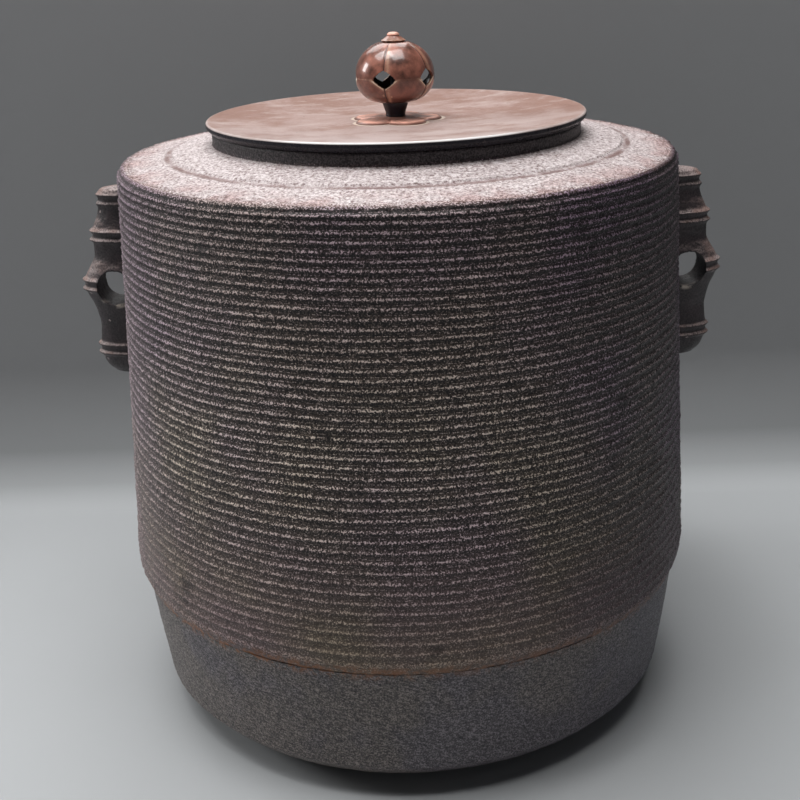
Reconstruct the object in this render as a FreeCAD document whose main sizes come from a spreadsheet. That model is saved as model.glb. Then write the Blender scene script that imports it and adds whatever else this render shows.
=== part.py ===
import FreeCAD, Part
import Sketcher
import math
import os

# Driving dimensions, in millimetres and degrees. Heights are measured from the table.
SIZES = {
    # Bottom bowl
    "base_inset": 26.4,
    "bowl_corner_height": 14.0,
    "bowl_taper": 4.8,
    "bowl_setback": 0.6,
    "bowl_thickness": 3.6,
    "seam_height": 55.0,
    "seam_ledge": 3.8,
    "spigot_height": 11.0,
    # Wall, shoulder and mouth
    "wall_foot_radius": 107.8,
    "wall_foot_rise": 7.5,
    "wall_lip_setback": 2.0,
    "wall_taper": 8.0,
    "wall_thickness": 3.6,
    "shoulder_height": 208.2,
    "shoulder_round": 4.4,
    "shoulder_inner_round": 3.0,
    "shoulder_rise": 5.3,
    "shoulder_ledge": 0.6,
    "shoulder_ledge_width": 14.5,
    "mouth_radius": 58.0,
    "mouth_rim_width": 7.5,
    "mouth_height": 3.7,
    "line_count": 44,
    "line_depth": 0.5,
    "line_inset": 1.1,
    "line_tightening": 0.15,
    # Bamboo-node lugs
    "lug_below_shoulder": 46.3,
    "lug_width_ratio": 0.6,
    "lug_end_above": 35.8,
    "lug_end_below": 36.2,
    "lug_top_reach": 7.0,
    "lug_foot_reach": 3.5,
    "lug_heel_below": 32.0,
    "lug_heel_reach": 10.4,
    "collar_node_above": 31.4,
    "collar_node_reach": 10.7,
    "upper_node_above": 18.2,
    "upper_node_reach": 13.8,
    "middle_node_reach": 17.6,
    "lower_node_below": 25.2,
    "lower_node_reach": 13.1,
    "neck_waist_above": 26.0,
    "neck_waist_reach": 10.2,
    "upper_waist_above": 10.4,
    "upper_waist_reach": 11.8,
    "lower_waist_below": 15.4,
    "lower_waist_reach": 11.4,
    "node_ring_spacing": 1.7,
    "node_groove_depth": 0.9,
    "eye_radius": 6.4,
    "eye_length": 70.4,
    "eye_offset": 3.6,
    "eye_below": 0.7,
    "tenon_radius": 3.0,
    "tenon_depth": 1.8,
    "tenon_rooting": 1.8,
    "socket_overcut": 3.6,
    "upper_tenon_above": 22.0,
    "lower_tenon_below": 18.0,
    # Lid
    "lid_overhang": 1.9,
    "lid_edge_thickness": 3.2,
    "lid_edge_round": 0.8,
    "lid_bevel": 1.4,
    "lid_dish": 2.6,
    "lid_plate_thickness": 2.0,
    "lid_centre_flat": 18.0,
    "lid_seat_gap": 0.2,
    "ring_clearance": 0.6,
    "ring_thickness": 1.4,
    "ring_depth": 6.0,
    # Knob
    "petal_count": 5,
    "petal_radius": 7.2,
    "petal_centre_radius": 9.2,
    "petal_thickness": 1.2,
    "petal_turn": 5.0,
    "running_clearance": 0.05,
    "knob_end_play": 0.15,
    "tail_radius": 2.8,
    "stem_height": 5.0,
    "stem_waist_height": 1.7,
    "stem_waist_radius": 3.45,
    "stem_top_radius": 4.6,
    "core_radius": 1.5,
    "knob_radius": 14.2,
    "knob_pole_radius": 5.2,
    "knob_lower_height": 8.8,
    "knob_upper_height": 11.5,
    "knob_shell_thickness": 1.1,
    "knob_turn": 38.1,
    "lobe_count": 5,
    "piercing_width": 8.8,
    "piercing_height": 6.3,
    "lobe_groove_radius": 0.45,
    "finial_washer_radius": 4.6,
    "finial_washer_height": 2.1,
    "finial_button_radius": 2.2,
    "finial_button_height": 1.3,
    "finial_cap_thickness": 0.5,
    "rivet_washer_radius": 6.5,
    "rivet_washer_thickness": 1.0,
    "rivet_head_radius": 4.4,
    "rivet_head_height": 1.4,
    # Singing irons on the floor of the bowl
    "iron_count": 5,
    "iron_length": 22.0,
    "iron_width": 9.0,
    "iron_thickness": 1.6,
    "iron_circle_radius": 20.0,
}

SHEET_NAME = "sizes"
FULL_TURN = 360.0
QUARTER_TURN = 90.0

doc = FreeCAD.newDocument("tea_kettle")
sheet = doc.addObject("Spreadsheet::Sheet", SHEET_NAME)
for row, (alias, number) in enumerate(SIZES.items(), start=1):
    sheet.set(f"A{row}", str(number))
    sheet.setAlias(f"A{row}", alias)
doc.recompute()


class Length:
    """A size that knows its value and the expression tying it to the sheet."""

    def __init__(self, value, text):
        self.value = value
        self.text = text

    def __add__(self, other):
        other = as_length(other)
        return Length(self.value + other.value, f"({self.text} + {other.text})")

    def __sub__(self, other):
        other = as_length(other)
        return Length(self.value - other.value, f"({self.text} - {other.text})")

    def __mul__(self, other):
        other = as_length(other)
        return Length(self.value * other.value, f"({self.text} * {other.text})")

    def __truediv__(self, other):
        other = as_length(other)
        return Length(self.value / other.value, f"({self.text} / {other.text})")


def as_length(size):
    return size if isinstance(size, Length) else Length(float(size), repr(float(size)))


def dim(alias):
    return Length(float(sheet.get(alias)), f"{SHEET_NAME}.{alias}")


def bind(item, prop, size):
    item.setExpression(prop, as_length(size).text)


def bulge(flat_run, other_run):
    """Radius of an arc that leaves square to flat_run and covers both runs."""
    return (flat_run * flat_run + other_run * other_run) / (flat_run * 2)


def origin_plane(body, role):
    return next(item for item in body.Origin.OriginFeatures if item.Role == role)


def new_sketch(body, name, role):
    sketch = body.newObject("Sketcher::SketchObject", name)
    sketch.AttachmentSupport = [(origin_plane(body, role), "")]
    sketch.MapMode = "FlatFace"
    return sketch


def arc_between(start, end, radius, turns_left):
    """Arc of a circle from start to end, bending to the left or to the right."""
    chord = end - start
    half = chord.Length / 2
    reach = math.sqrt(max(radius * radius - half * half, 0.0))
    left = FreeCAD.Vector(-chord.y, chord.x, 0).normalize()
    side = 1 if turns_left else -1
    centre = (start + end) * 0.5 + left * reach * side
    first, last = (start, end) if turns_left else (end, start)
    first_angle = math.atan2(first.y - centre.y, first.x - centre.x)
    last_angle = math.atan2(last.y - centre.y, last.x - centre.x)
    circle = Part.Circle(centre, FreeCAD.Vector(0, 0, 1), radius)
    return Part.ArcOfCircle(circle, first_angle, last_angle)


def fix_coordinate(sketch, kind, axis_line, edge, end, size):
    """Tie one coordinate of an edge's end to its size, or to the axis where it is zero."""
    if abs(size.value) < 1e-9:
        sketch.addConstraint(Sketcher.Constraint("PointOnObject", edge, end, axis_line))
        return
    number = sketch.addConstraint(Sketcher.Constraint(kind, -1, 1, edge, end, size.value))
    bind(sketch, f"Constraints[{number}]", size)


def draw_outline(sketch, outline):
    """Closed outline of (x, y) corners; an arc reaches (x, y, radius, bend), bending left or right."""
    corners = [(as_length(corner[0]), as_length(corner[1])) for corner in outline]
    points = [FreeCAD.Vector(x.value, y.value, 0) for x, y in corners]
    ends = []
    for index, corner in enumerate(outline):
        start = points[index - 1]
        end = points[index]
        if len(corner) == 2:
            edge = sketch.addGeometry(Part.LineSegment(start, end))
            ends.append((edge, 1, 2))
            continue
        radius = as_length(corner[2])
        turns_left = corner[3] == "left"
        edge = sketch.addGeometry(arc_between(start, end, radius.value, turns_left))
        number = sketch.addConstraint(Sketcher.Constraint("Radius", edge, radius.value))
        bind(sketch, f"Constraints[{number}]", radius)
        ends.append((edge, 1, 2) if turns_left else (edge, 2, 1))
    for index, (edge, _, finish) in enumerate(ends):
        following, begin, _ = ends[(index + 1) % len(ends)]
        sketch.addConstraint(Sketcher.Constraint("Coincident", edge, finish, following, begin))
        x, y = corners[index]
        fix_coordinate(sketch, "DistanceX", -2, edge, finish, x)
        fix_coordinate(sketch, "DistanceY", -1, edge, finish, y)


def new_body(label):
    body = doc.addObject("PartDesign::Body", label)
    body.Label = label
    return body


def turned(label, outline):
    """Body turned about Z from its outline of radius and height."""
    body = new_body(label)
    sketch = new_sketch(body, f"{label}_outline", "XZ_Plane")
    draw_outline(sketch, outline)
    turning = body.newObject("PartDesign::Revolution", f"{label}_turning")
    turning.Profile = sketch
    turning.ReferenceAxis = (sketch, ["V_Axis"])
    turning.Angle = FULL_TURN
    doc.recompute()
    return body


def turn_pattern(body, features, name, count):
    """Repeat features of the body around Z."""
    pattern = body.newObject("PartDesign::PolarPattern", name)
    pattern.Originals = features
    pattern.Axis = (origin_plane(body, "Z_Axis"), [""])
    pattern.Angle = FULL_TURN
    bind(pattern, "Occurrences", count)
    body.Tip = pattern
    doc.recompute()
    return pattern


# Heights and radii that several pieces share
wall_lip_radius = dim("wall_foot_radius") - dim("wall_lip_setback")
wall_top_radius = dim("wall_foot_radius") - dim("wall_taper")
bowl_seam_radius = wall_lip_radius - dim("bowl_setback")
bowl_side_radius = bowl_seam_radius - dim("bowl_taper")
base_radius = bowl_side_radius - dim("base_inset")
neck_radius = dim("mouth_radius") + dim("mouth_rim_width")
lid_radius = neck_radius + dim("lid_overhang")
lug_height = dim("shoulder_height") - dim("lug_below_shoulder")
wall_foot_height = dim("seam_height") + dim("wall_foot_rise")
wall_top_height = dim("shoulder_height") - dim("shoulder_round")
neck_foot_height = dim("shoulder_height") + dim("shoulder_rise")
mouth_top = neck_foot_height + dim("mouth_height")
spigot_radius = bowl_seam_radius - dim("seam_ledge")
spigot_top = dim("seam_height") + dim("spigot_height")
lid_under = mouth_top + dim("lid_seat_gap")
lid_top = lid_under + dim("lid_edge_thickness")
lid_centre_top = lid_top - dim("lid_dish")
lid_centre_under = lid_centre_top - dim("lid_plate_thickness")
ring_outer = dim("mouth_radius") - dim("ring_clearance")
ring_inner = ring_outer - dim("ring_thickness")
tail_hole_radius = dim("tail_radius") + dim("running_clearance")
petal_top = lid_centre_top + dim("petal_thickness")
stem_foot = petal_top + dim("knob_end_play")
knob_bottom = stem_foot + dim("stem_height")
knob_equator = knob_bottom + dim("knob_lower_height")
knob_top = knob_equator + dim("knob_upper_height")
washer_top = knob_top + dim("finial_washer_height")
button_top = washer_top + dim("finial_button_height")
rivet_washer_top = lid_centre_under - dim("knob_end_play")
rivet_washer_under = rivet_washer_top - dim("rivet_washer_thickness")


def wall_radius(height):
    """Outer radius of the tapering wall at a height."""
    share = (height - wall_foot_height) / (wall_top_height - wall_foot_height)
    return dim("wall_foot_radius") - dim("wall_taper") * share


def make_kettle_bottom():
    thick = dim("bowl_thickness")
    outer_corner = bulge(dim("bowl_corner_height"), dim("base_inset"))
    inner_rise = dim("bowl_corner_height") - thick
    inner_corner = bulge(inner_rise, dim("base_inset") - thick)
    return turned("kettle_bottom", [
        (0, 0),
        (base_radius, 0),
        (bowl_side_radius, dim("bowl_corner_height"), outer_corner, "left"),
        (bowl_seam_radius, dim("seam_height")),
        (spigot_radius, dim("seam_height")),
        (spigot_radius, spigot_top),
        (spigot_radius - thick, spigot_top),
        (bowl_side_radius - thick, dim("bowl_corner_height")),
        (base_radius, thick, inner_corner, "right"),
        (0, thick),
    ])


def tenon_heights():
    """Heights of the two tenons that root each lug in the wall."""
    return {
        "upper": lug_height + dim("upper_tenon_above"),
        "lower": lug_height - dim("lower_tenon_below"),
    }


# Direction of each lug along X
SIDES = {"left": -1, "right": 1}


def place_along_x(cylinder, side, start, height):
    """Lay a cylinder along X, growing outward from a distance to the kettle's axis."""
    cylinder.Placement = FreeCAD.Placement(
        FreeCAD.Vector(0, 0, 0),
        FreeCAD.Rotation(FreeCAD.Vector(0, 1, 0), QUARTER_TURN * SIDES[side]),
    )
    bind(cylinder, "Placement.Base.x", start * SIDES[side])
    bind(cylinder, "Placement.Base.z", height)


def line_height(number):
    """Height of a thread line counted from the lowest; the lines draw closer towards the top."""
    share = number / (dim("line_count").value - 1)
    eased = dim("line_tightening") * (share * (1 - share)) + share
    lowest = wall_foot_height + dim("line_inset")
    highest = wall_top_height - dim("line_inset")
    return lowest + (highest - lowest) * eased


def thread_lines():
    """Corners up the outside of the wall: a crest on each thread line and a valley between two."""
    corners = []
    for number in range(int(dim("line_count").value)):
        if number:
            valley = line_height(number - 0.5)
            corners.append((wall_radius(valley) - dim("line_depth"), valley))
        crest = line_height(number)
        corners.append((wall_radius(crest), crest))
    return corners


def make_kettle_body():
    thick = dim("wall_thickness")
    ledge_foot = dim("shoulder_height") + (dim("shoulder_rise") - dim("shoulder_ledge")) / 2
    ledge_radius = neck_radius + dim("shoulder_ledge_width")
    lip_round = bulge(dim("wall_lip_setback"), dim("wall_foot_rise"))
    inner_top = dim("shoulder_height") - thick
    inner_radius = wall_top_radius - thick
    body = turned("kettle_body", [
        (spigot_radius, dim("seam_height")),
        (wall_lip_radius, dim("seam_height")),
        (dim("wall_foot_radius"), wall_foot_height, lip_round, "left"),
        *thread_lines(),
        (wall_top_radius, wall_top_height),
        (wall_top_radius - dim("shoulder_round"), dim("shoulder_height"), dim("shoulder_round"), "left"),
        (ledge_radius + dim("shoulder_ledge"), ledge_foot),
        (ledge_radius, ledge_foot + dim("shoulder_ledge")),
        (neck_radius, neck_foot_height),
        (neck_radius, mouth_top),
        (dim("mouth_radius"), mouth_top),
        (dim("mouth_radius"), neck_foot_height - thick),
        (inner_radius - dim("shoulder_inner_round"), inner_top),
        (inner_radius, inner_top - dim("shoulder_inner_round"), dim("shoulder_inner_round"), "right"),
        (spigot_radius, spigot_top),
    ])
    for side in SIDES:
        for name, height in tenon_heights().items():
            socket = body.newObject("PartDesign::SubtractiveCylinder", f"{side}_{name}_socket")
            bind(socket, "Radius", dim("tenon_radius"))
            bind(socket, "Height", dim("tenon_depth") + dim("socket_overcut"))
            place_along_x(socket, side, wall_radius(height) - dim("tenon_depth"), height)
            doc.recompute()
    return body


def lug_sections():
    """Heights above the middle node and reaches from the wall, from the foot to the top."""
    sections = [
        (dim("lug_end_below") * -1, dim("lug_foot_reach")),
        (dim("lug_heel_below") * -1, dim("lug_heel_reach")),
    ]
    nodes = [
        (dim("lower_node_below") * -1, dim("lower_node_reach")),
        (as_length(0), dim("middle_node_reach")),
        (dim("upper_node_above"), dim("upper_node_reach")),
        (dim("collar_node_above"), dim("collar_node_reach")),
    ]
    waists = [
        (dim("lower_waist_below") * -1, dim("lower_waist_reach")),
        (dim("upper_waist_above"), dim("upper_waist_reach")),
        (dim("neck_waist_above"), dim("neck_waist_reach")),
        (dim("lug_end_above"), dim("lug_top_reach")),
    ]
    for (node_height, node_reach), waist in zip(nodes, waists):
        sections.append((node_height - dim("node_ring_spacing"), node_reach))
        sections.append((node_height, node_reach - dim("node_groove_depth")))
        sections.append((node_height + dim("node_ring_spacing"), node_reach))
        sections.append(waist)
    return sections


def make_lug(side):
    label = f"lug_{side}"
    # The sections start on the kettle's side, so that their seam lies inside the wall
    seam_turn = QUARTER_TURN + QUARTER_TURN * SIDES[side]
    ellipses = []
    for number, (above, reach) in enumerate(lug_sections(), start=1):
        height = lug_height + above
        ellipse = doc.addObject("Part::Ellipse", f"{label}_section_{number}")
        ellipse.Placement.Rotation = FreeCAD.Rotation(FreeCAD.Vector(0, 0, 1), seam_turn)
        bind(ellipse, "MajorRadius", reach)
        bind(ellipse, "MinorRadius", reach * dim("lug_width_ratio"))
        bind(ellipse, "Placement.Base.x", wall_radius(height) * SIDES[side])
        bind(ellipse, "Placement.Base.z", height)
        ellipses.append(ellipse)
    culm = doc.addObject("Part::Loft", f"{label}_culm")
    culm.Sections = ellipses
    culm.Solid = True
    culm.Ruled = True
    wall = doc.addObject("Part::Cone", f"{label}_wall")
    bind(wall, "Radius1", dim("wall_foot_radius"))
    bind(wall, "Radius2", wall_top_radius)
    bind(wall, "Height", wall_top_height - wall_foot_height)
    bind(wall, "Placement.Base.z", wall_foot_height)
    outside = doc.addObject("Part::Cut", f"{label}_outside_wall")
    outside.Base = culm
    outside.Tool = wall
    tenons = []
    for name, height in tenon_heights().items():
        tenon = doc.addObject("Part::Cylinder", f"{label}_{name}_tenon")
        bind(tenon, "Radius", dim("tenon_radius"))
        bind(tenon, "Height", dim("tenon_depth") + dim("tenon_rooting"))
        place_along_x(tenon, side, wall_radius(height) - dim("tenon_depth"), height)
        tenons.append(tenon)
    rooted = doc.addObject("Part::MultiFuse", f"{label}_rooted")
    rooted.Shapes = [outside] + tenons
    eye_height = lug_height - dim("eye_below")
    eye = doc.addObject("Part::Cylinder", f"{label}_eye")
    eye.Placement = FreeCAD.Placement(
        FreeCAD.Vector(0, 0, 0),
        FreeCAD.Rotation(FreeCAD.Vector(1, 0, 0), -QUARTER_TURN),
    )
    bind(eye, "Radius", dim("eye_radius"))
    bind(eye, "Height", dim("eye_length"))
    bind(eye, "Placement.Base.x", (wall_radius(eye_height) + dim("eye_offset")) * SIDES[side])
    bind(eye, "Placement.Base.y", dim("eye_length") / -2)
    bind(eye, "Placement.Base.z", eye_height)
    lug = doc.addObject("Part::Cut", label)
    lug.Base = rooted
    lug.Tool = eye
    lug.Label = label
    doc.recompute()
    return lug


def make_lid_plate():
    edge = dim("lid_edge_round")
    bevel = dim("lid_bevel")
    dish_run = lid_radius - edge - dim("lid_centre_flat")
    under_run = ring_inner - dim("lid_centre_flat")
    under_drop = lid_under - lid_centre_under
    return turned("lid_plate", [
        (tail_hole_radius, lid_centre_under),
        (dim("lid_centre_flat"), lid_centre_under),
        (ring_inner, lid_under, bulge(under_drop, under_run), "left"),
        (lid_radius - bevel, lid_under),
        (lid_radius, lid_under + bevel),
        (lid_radius, lid_top - edge),
        (lid_radius - edge, lid_top, edge, "left"),
        (dim("lid_centre_flat"), lid_centre_top, bulge(dim("lid_dish"), dish_run), "right"),
        (tail_hole_radius, lid_centre_top),
    ])


def make_lid_locating_ring():
    ring_foot = lid_under - dim("ring_depth")
    return turned("lid_locating_ring", [
        (ring_inner, ring_foot),
        (ring_outer, ring_foot),
        (ring_outer, lid_under),
        (ring_inner, lid_under),
    ])


def make_knob_seat_petals():
    body = turned("knob_seat_petals", [
        (0, lid_centre_top),
        (dim("petal_centre_radius"), lid_centre_top),
        (dim("petal_centre_radius"), petal_top),
        (0, petal_top),
    ])
    sketch = new_sketch(body, "petal_outline", "XY_Plane")
    bind(sketch, "AttachmentOffset.Base.z", lid_centre_top)
    lobe = Part.Circle(
        FreeCAD.Vector(dim("petal_centre_radius").value, 0, 0),
        FreeCAD.Vector(0, 0, 1),
        dim("petal_radius").value,
    )
    edge = sketch.addGeometry(lobe)
    fix_coordinate(sketch, "DistanceX", -2, edge, 3, dim("petal_centre_radius"))
    fix_coordinate(sketch, "DistanceY", -1, edge, 3, as_length(0))
    number = sketch.addConstraint(Sketcher.Constraint("Radius", edge, dim("petal_radius").value))
    bind(sketch, f"Constraints[{number}]", dim("petal_radius"))
    petal = body.newObject("PartDesign::Pad", "petal")
    petal.Profile = sketch
    bind(petal, "Length", dim("petal_thickness"))
    doc.recompute()
    turn_pattern(body, [petal], "petals", dim("petal_count"))
    hole = body.newObject("PartDesign::SubtractiveCylinder", "petal_hole")
    bind(hole, "Radius", tail_hole_radius)
    bind(hole, "Height", dim("petal_thickness"))
    bind(hole, "Placement.Base.z", lid_centre_top)
    doc.recompute()
    body.Placement.Rotation = FreeCAD.Rotation(FreeCAD.Vector(0, 0, 1), 0)
    bind(body, "Placement.Rotation.Angle", dim("petal_turn"))
    return body


def make_knob_spindle():
    head_foot = rivet_washer_under - dim("rivet_head_height")
    waist_height = stem_foot + dim("stem_waist_height")
    head_round = bulge(dim("rivet_head_height"), dim("rivet_head_radius"))
    return turned("knob_spindle", [
        (0, head_foot),
        (dim("rivet_head_radius"), rivet_washer_under, head_round, "left"),
        (dim("tail_radius"), rivet_washer_under),
        (dim("tail_radius"), stem_foot),
        (dim("stem_waist_radius"), stem_foot),
        (dim("stem_waist_radius"), waist_height),
        (dim("stem_top_radius"), knob_bottom),
        (dim("core_radius"), knob_bottom),
        (dim("core_radius"), button_top - dim("finial_cap_thickness")),
        (0, button_top - dim("finial_cap_thickness")),
    ])


def make_lid_rivet_washer():
    return turned("lid_rivet_washer", [
        (dim("tail_radius"), rivet_washer_under),
        (dim("rivet_washer_radius"), rivet_washer_under),
        (dim("rivet_washer_radius"), rivet_washer_top),
        (dim("tail_radius"), rivet_washer_top),
    ])


def cut_piercing(body, label, tip_rise):
    """Triangular opening from the equator towards a pole."""
    half_width = dim("piercing_width") / 2
    sketch = new_sketch(body, f"{label}_piercing_outline", "YZ_Plane")
    draw_outline(sketch, [
        (half_width * -1, knob_equator),
        (half_width, knob_equator),
        (0, knob_equator + tip_rise),
    ])
    piercing = body.newObject("PartDesign::Pocket", f"{label}_piercing")
    piercing.Profile = sketch
    piercing.Type = "Length"
    piercing.Reversed = True
    bind(piercing, "Length", dim("knob_radius") * 2)
    doc.recompute()
    return piercing


def cut_lobe_groove(body, label, round_radius, inward):
    """Groove between two lobes, along the outside from the equator to the pole."""
    groove = body.newObject("PartDesign::SubtractiveTorus", f"{label}_groove")
    groove.Angle3 = QUARTER_TURN
    groove.Placement = FreeCAD.Placement(
        FreeCAD.Vector(0, 0, 0),
        FreeCAD.Rotation(FreeCAD.Vector(1, 0, 0), -QUARTER_TURN * inward),
    )
    bind(groove, "Radius1", round_radius)
    bind(groove, "Radius2", dim("lobe_groove_radius"))
    bind(groove, "Placement.Base.x", dim("knob_radius") - round_radius)
    bind(groove, "Placement.Base.z", knob_equator)
    doc.recompute()
    return groove


def make_knob_shell(label, pole_height, rise, bend, opposite_bend, inward):
    """One half of the hollow knob, from its flat pole to the equator."""
    thick = dim("knob_shell_thickness")
    run = dim("knob_radius") - dim("knob_pole_radius")
    inner_pole = pole_height + thick * inward
    round_radius = bulge(run, rise)
    body = turned(label, [
        (dim("core_radius"), pole_height),
        (dim("knob_pole_radius"), pole_height),
        (dim("knob_radius"), knob_equator, round_radius, bend),
        (dim("knob_radius") - thick, knob_equator),
        (dim("knob_pole_radius"), inner_pole, bulge(run - thick, rise - thick), opposite_bend),
        (dim("core_radius"), inner_pole),
    ])
    cuts = [
        cut_piercing(body, label, dim("piercing_height") / 2 * (inward * -1)),
        cut_lobe_groove(body, label, round_radius, inward),
    ]
    turn_pattern(body, cuts, f"{label}_lobes", dim("lobe_count"))
    body.Placement.Rotation = FreeCAD.Rotation(FreeCAD.Vector(0, 0, 1), 0)
    bind(body, "Placement.Rotation.Angle", dim("knob_turn"))
    return body


def make_finial_washer():
    return turned("finial_washer", [
        (dim("core_radius"), knob_top),
        (dim("finial_washer_radius"), knob_top),
        (dim("finial_button_radius"), washer_top),
        (dim("core_radius"), washer_top),
    ])


def make_finial_button():
    cap_under = button_top - dim("finial_cap_thickness")
    return turned("finial_button", [
        (dim("core_radius"), washer_top),
        (dim("finial_button_radius"), washer_top),
        (0, button_top, bulge(dim("finial_button_height"), dim("finial_button_radius")), "left"),
        (0, cap_under),
        (dim("core_radius"), cap_under),
    ])


def make_singing_irons():
    irons = []
    count = int(dim("iron_count").value)
    for number in range(count):
        iron = doc.addObject("Part::Box", f"singing_iron_{number + 1}")
        turn = FULL_TURN * number / count
        iron.Placement = FreeCAD.Placement(
            FreeCAD.Vector(0, 0, 0),
            FreeCAD.Rotation(FreeCAD.Vector(0, 0, 1), turn),
        )
        bind(iron, "Length", dim("iron_length"))
        bind(iron, "Width", dim("iron_width"))
        bind(iron, "Height", dim("iron_thickness"))
        along = math.cos(math.radians(turn))
        across = math.sin(math.radians(turn))
        half_width = dim("iron_width") / 2
        bind(iron, "Placement.Base.x", dim("iron_circle_radius") * along + half_width * across)
        bind(iron, "Placement.Base.y", dim("iron_circle_radius") * across - half_width * along)
        bind(iron, "Placement.Base.z", dim("bowl_thickness"))
        irons.append(iron)
    group = doc.addObject("Part::Compound", "singing_irons")
    group.Links = irons
    group.Label = "singing_irons"
    doc.recompute()
    return group


pieces = [
    make_kettle_bottom(),
    make_kettle_body(),
    make_lug("left"),
    make_lug("right"),
    make_lid_plate(),
    make_lid_locating_ring(),
    make_knob_seat_petals(),
    make_knob_spindle(),
    make_lid_rivet_washer(),
    make_knob_shell("knob_lower_shell", knob_bottom, dim("knob_lower_height"), "left", "right", 1),
    make_knob_shell("knob_upper_shell", knob_top, dim("knob_upper_height"), "right", "left", -1),
    make_finial_washer(),
    make_finial_button(),
    make_singing_irons(),
]
doc.recompute()

# Every object must have worked before anything is written
for item in doc.Objects:
    if "Invalid" in item.State or "Error" in item.State:
        raise RuntimeError(f"{item.Name} failed: {item.State}")
for piece in pieces:
    if piece.Shape.isNull() or not piece.Shape.isValid():
        raise RuntimeError(f"{piece.Label} has no valid shape")
    if piece.Shape.Volume <= 0:
        raise RuntimeError(f"{piece.Label} is inside out")

os.makedirs("parts", exist_ok=True)
for piece in pieces:
    piece.Shape.exportStep(f"parts/{piece.Label}.step")
    box = piece.Shape.BoundBox
    print(f"{piece.Label}: {len(piece.Shape.Solids)} solid(s), {piece.Shape.Volume:.0f} mm3,", box)
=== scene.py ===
import math

import bmesh
import bpy
import numpy as np
from mathutils import Matrix, Vector, noise


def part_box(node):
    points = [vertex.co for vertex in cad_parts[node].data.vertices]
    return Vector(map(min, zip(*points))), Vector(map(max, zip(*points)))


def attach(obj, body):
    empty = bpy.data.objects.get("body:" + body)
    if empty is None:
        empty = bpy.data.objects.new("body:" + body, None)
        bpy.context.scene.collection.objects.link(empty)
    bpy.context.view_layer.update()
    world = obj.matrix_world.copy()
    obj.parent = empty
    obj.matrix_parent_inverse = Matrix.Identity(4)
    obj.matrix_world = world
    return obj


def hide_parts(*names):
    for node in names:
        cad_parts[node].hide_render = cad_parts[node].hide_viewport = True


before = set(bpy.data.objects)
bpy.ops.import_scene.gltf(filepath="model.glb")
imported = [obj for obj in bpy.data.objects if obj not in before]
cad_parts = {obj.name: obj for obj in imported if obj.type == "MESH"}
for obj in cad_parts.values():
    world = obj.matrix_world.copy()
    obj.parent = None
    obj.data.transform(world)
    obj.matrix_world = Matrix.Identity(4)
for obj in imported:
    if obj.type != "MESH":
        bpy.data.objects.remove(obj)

bl_info = {
    "name": "Hearth water kettle",
    "version": (1, 0, 0),
    "blender": (4, 5, 0),
    "location": "View3D > Sidebar > Kettle",
    "description": "Cast-iron tea-ceremony water kettle with a copper lid",
    "category": "Object",
}

MM = 0.001
TAU = 2 * math.pi
BAKE_MAP = "OFBake"
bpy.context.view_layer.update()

# Where the solids stand, in metres
BODY_LOW, BODY_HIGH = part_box("kettle_body")
BOTTOM_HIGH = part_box("kettle_bottom")[1]
LID_LOW, LID_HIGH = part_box("lid_plate")
PETALS_LOW, PETALS_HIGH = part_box("knob_seat_petals")
LOWER_SHELL_LOW, LOWER_SHELL_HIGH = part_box("knob_lower_shell")
UPPER_SHELL_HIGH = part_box("knob_upper_shell")[1]
SPINDLE_LOW, SPINDLE_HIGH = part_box("knob_spindle")
WASHER_LOW, WASHER_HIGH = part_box("finial_washer")
BUTTON_LOW, BUTTON_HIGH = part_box("finial_button")

# Wall, shoulder and mouth
SEAM_HEIGHT = BODY_LOW.z
MOUTH_TOP = BODY_HIGH.z
WALL_FOOT_RADIUS = 107.8 * MM
WALL_FOOT_HEIGHT = SEAM_HEIGHT + 7.5 * MM
LIP_INSET = 2.0 * MM
WALL_LIP_RADIUS = WALL_FOOT_RADIUS - LIP_INSET
WALL_TOP_RADIUS = WALL_FOOT_RADIUS - 8.0 * MM
WALL_TOP_HEIGHT = MOUTH_TOP - 13.4 * MM
SHOULDER_ROUND = 4.4 * MM
SHOULDER_HEIGHT = WALL_TOP_HEIGHT + SHOULDER_ROUND
SPIGOT_RADIUS = 101.4 * MM
SPIGOT_TOP = BOTTOM_HIGH.z
NECK_RADIUS = 65.5 * MM
NECK_FOOT_HEIGHT = SHOULDER_HEIGHT + 5.3 * MM
MOUTH_RADIUS = 58.0 * MM
IRON_THICKNESS = 3.6 * MM

# Bottom bowl
BASE_RADIUS = 74.0 * MM
BASE_HUB = 8.0 * MM
BOWL_SIDE_RADIUS = 100.4 * MM
BOWL_CORNER_HEIGHT = 14.0 * MM
BOWL_SEAM_RADIUS = WALL_LIP_RADIUS - 0.6 * MM
BOWL_ROW_STEP = 0.55 * MM

# Thread lines: they draw closer towards the top; one more runs on the lip and two on the shoulder's round
LINE_COUNT = 44
LINE_INSET = 1.1 * MM
LINE_TIGHTENING = 0.15

# What points off the thread lines and inside the kettle store for the finish, in millimetres
OFF_LINES = 2.0
INSIDE = -60.0

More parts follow.
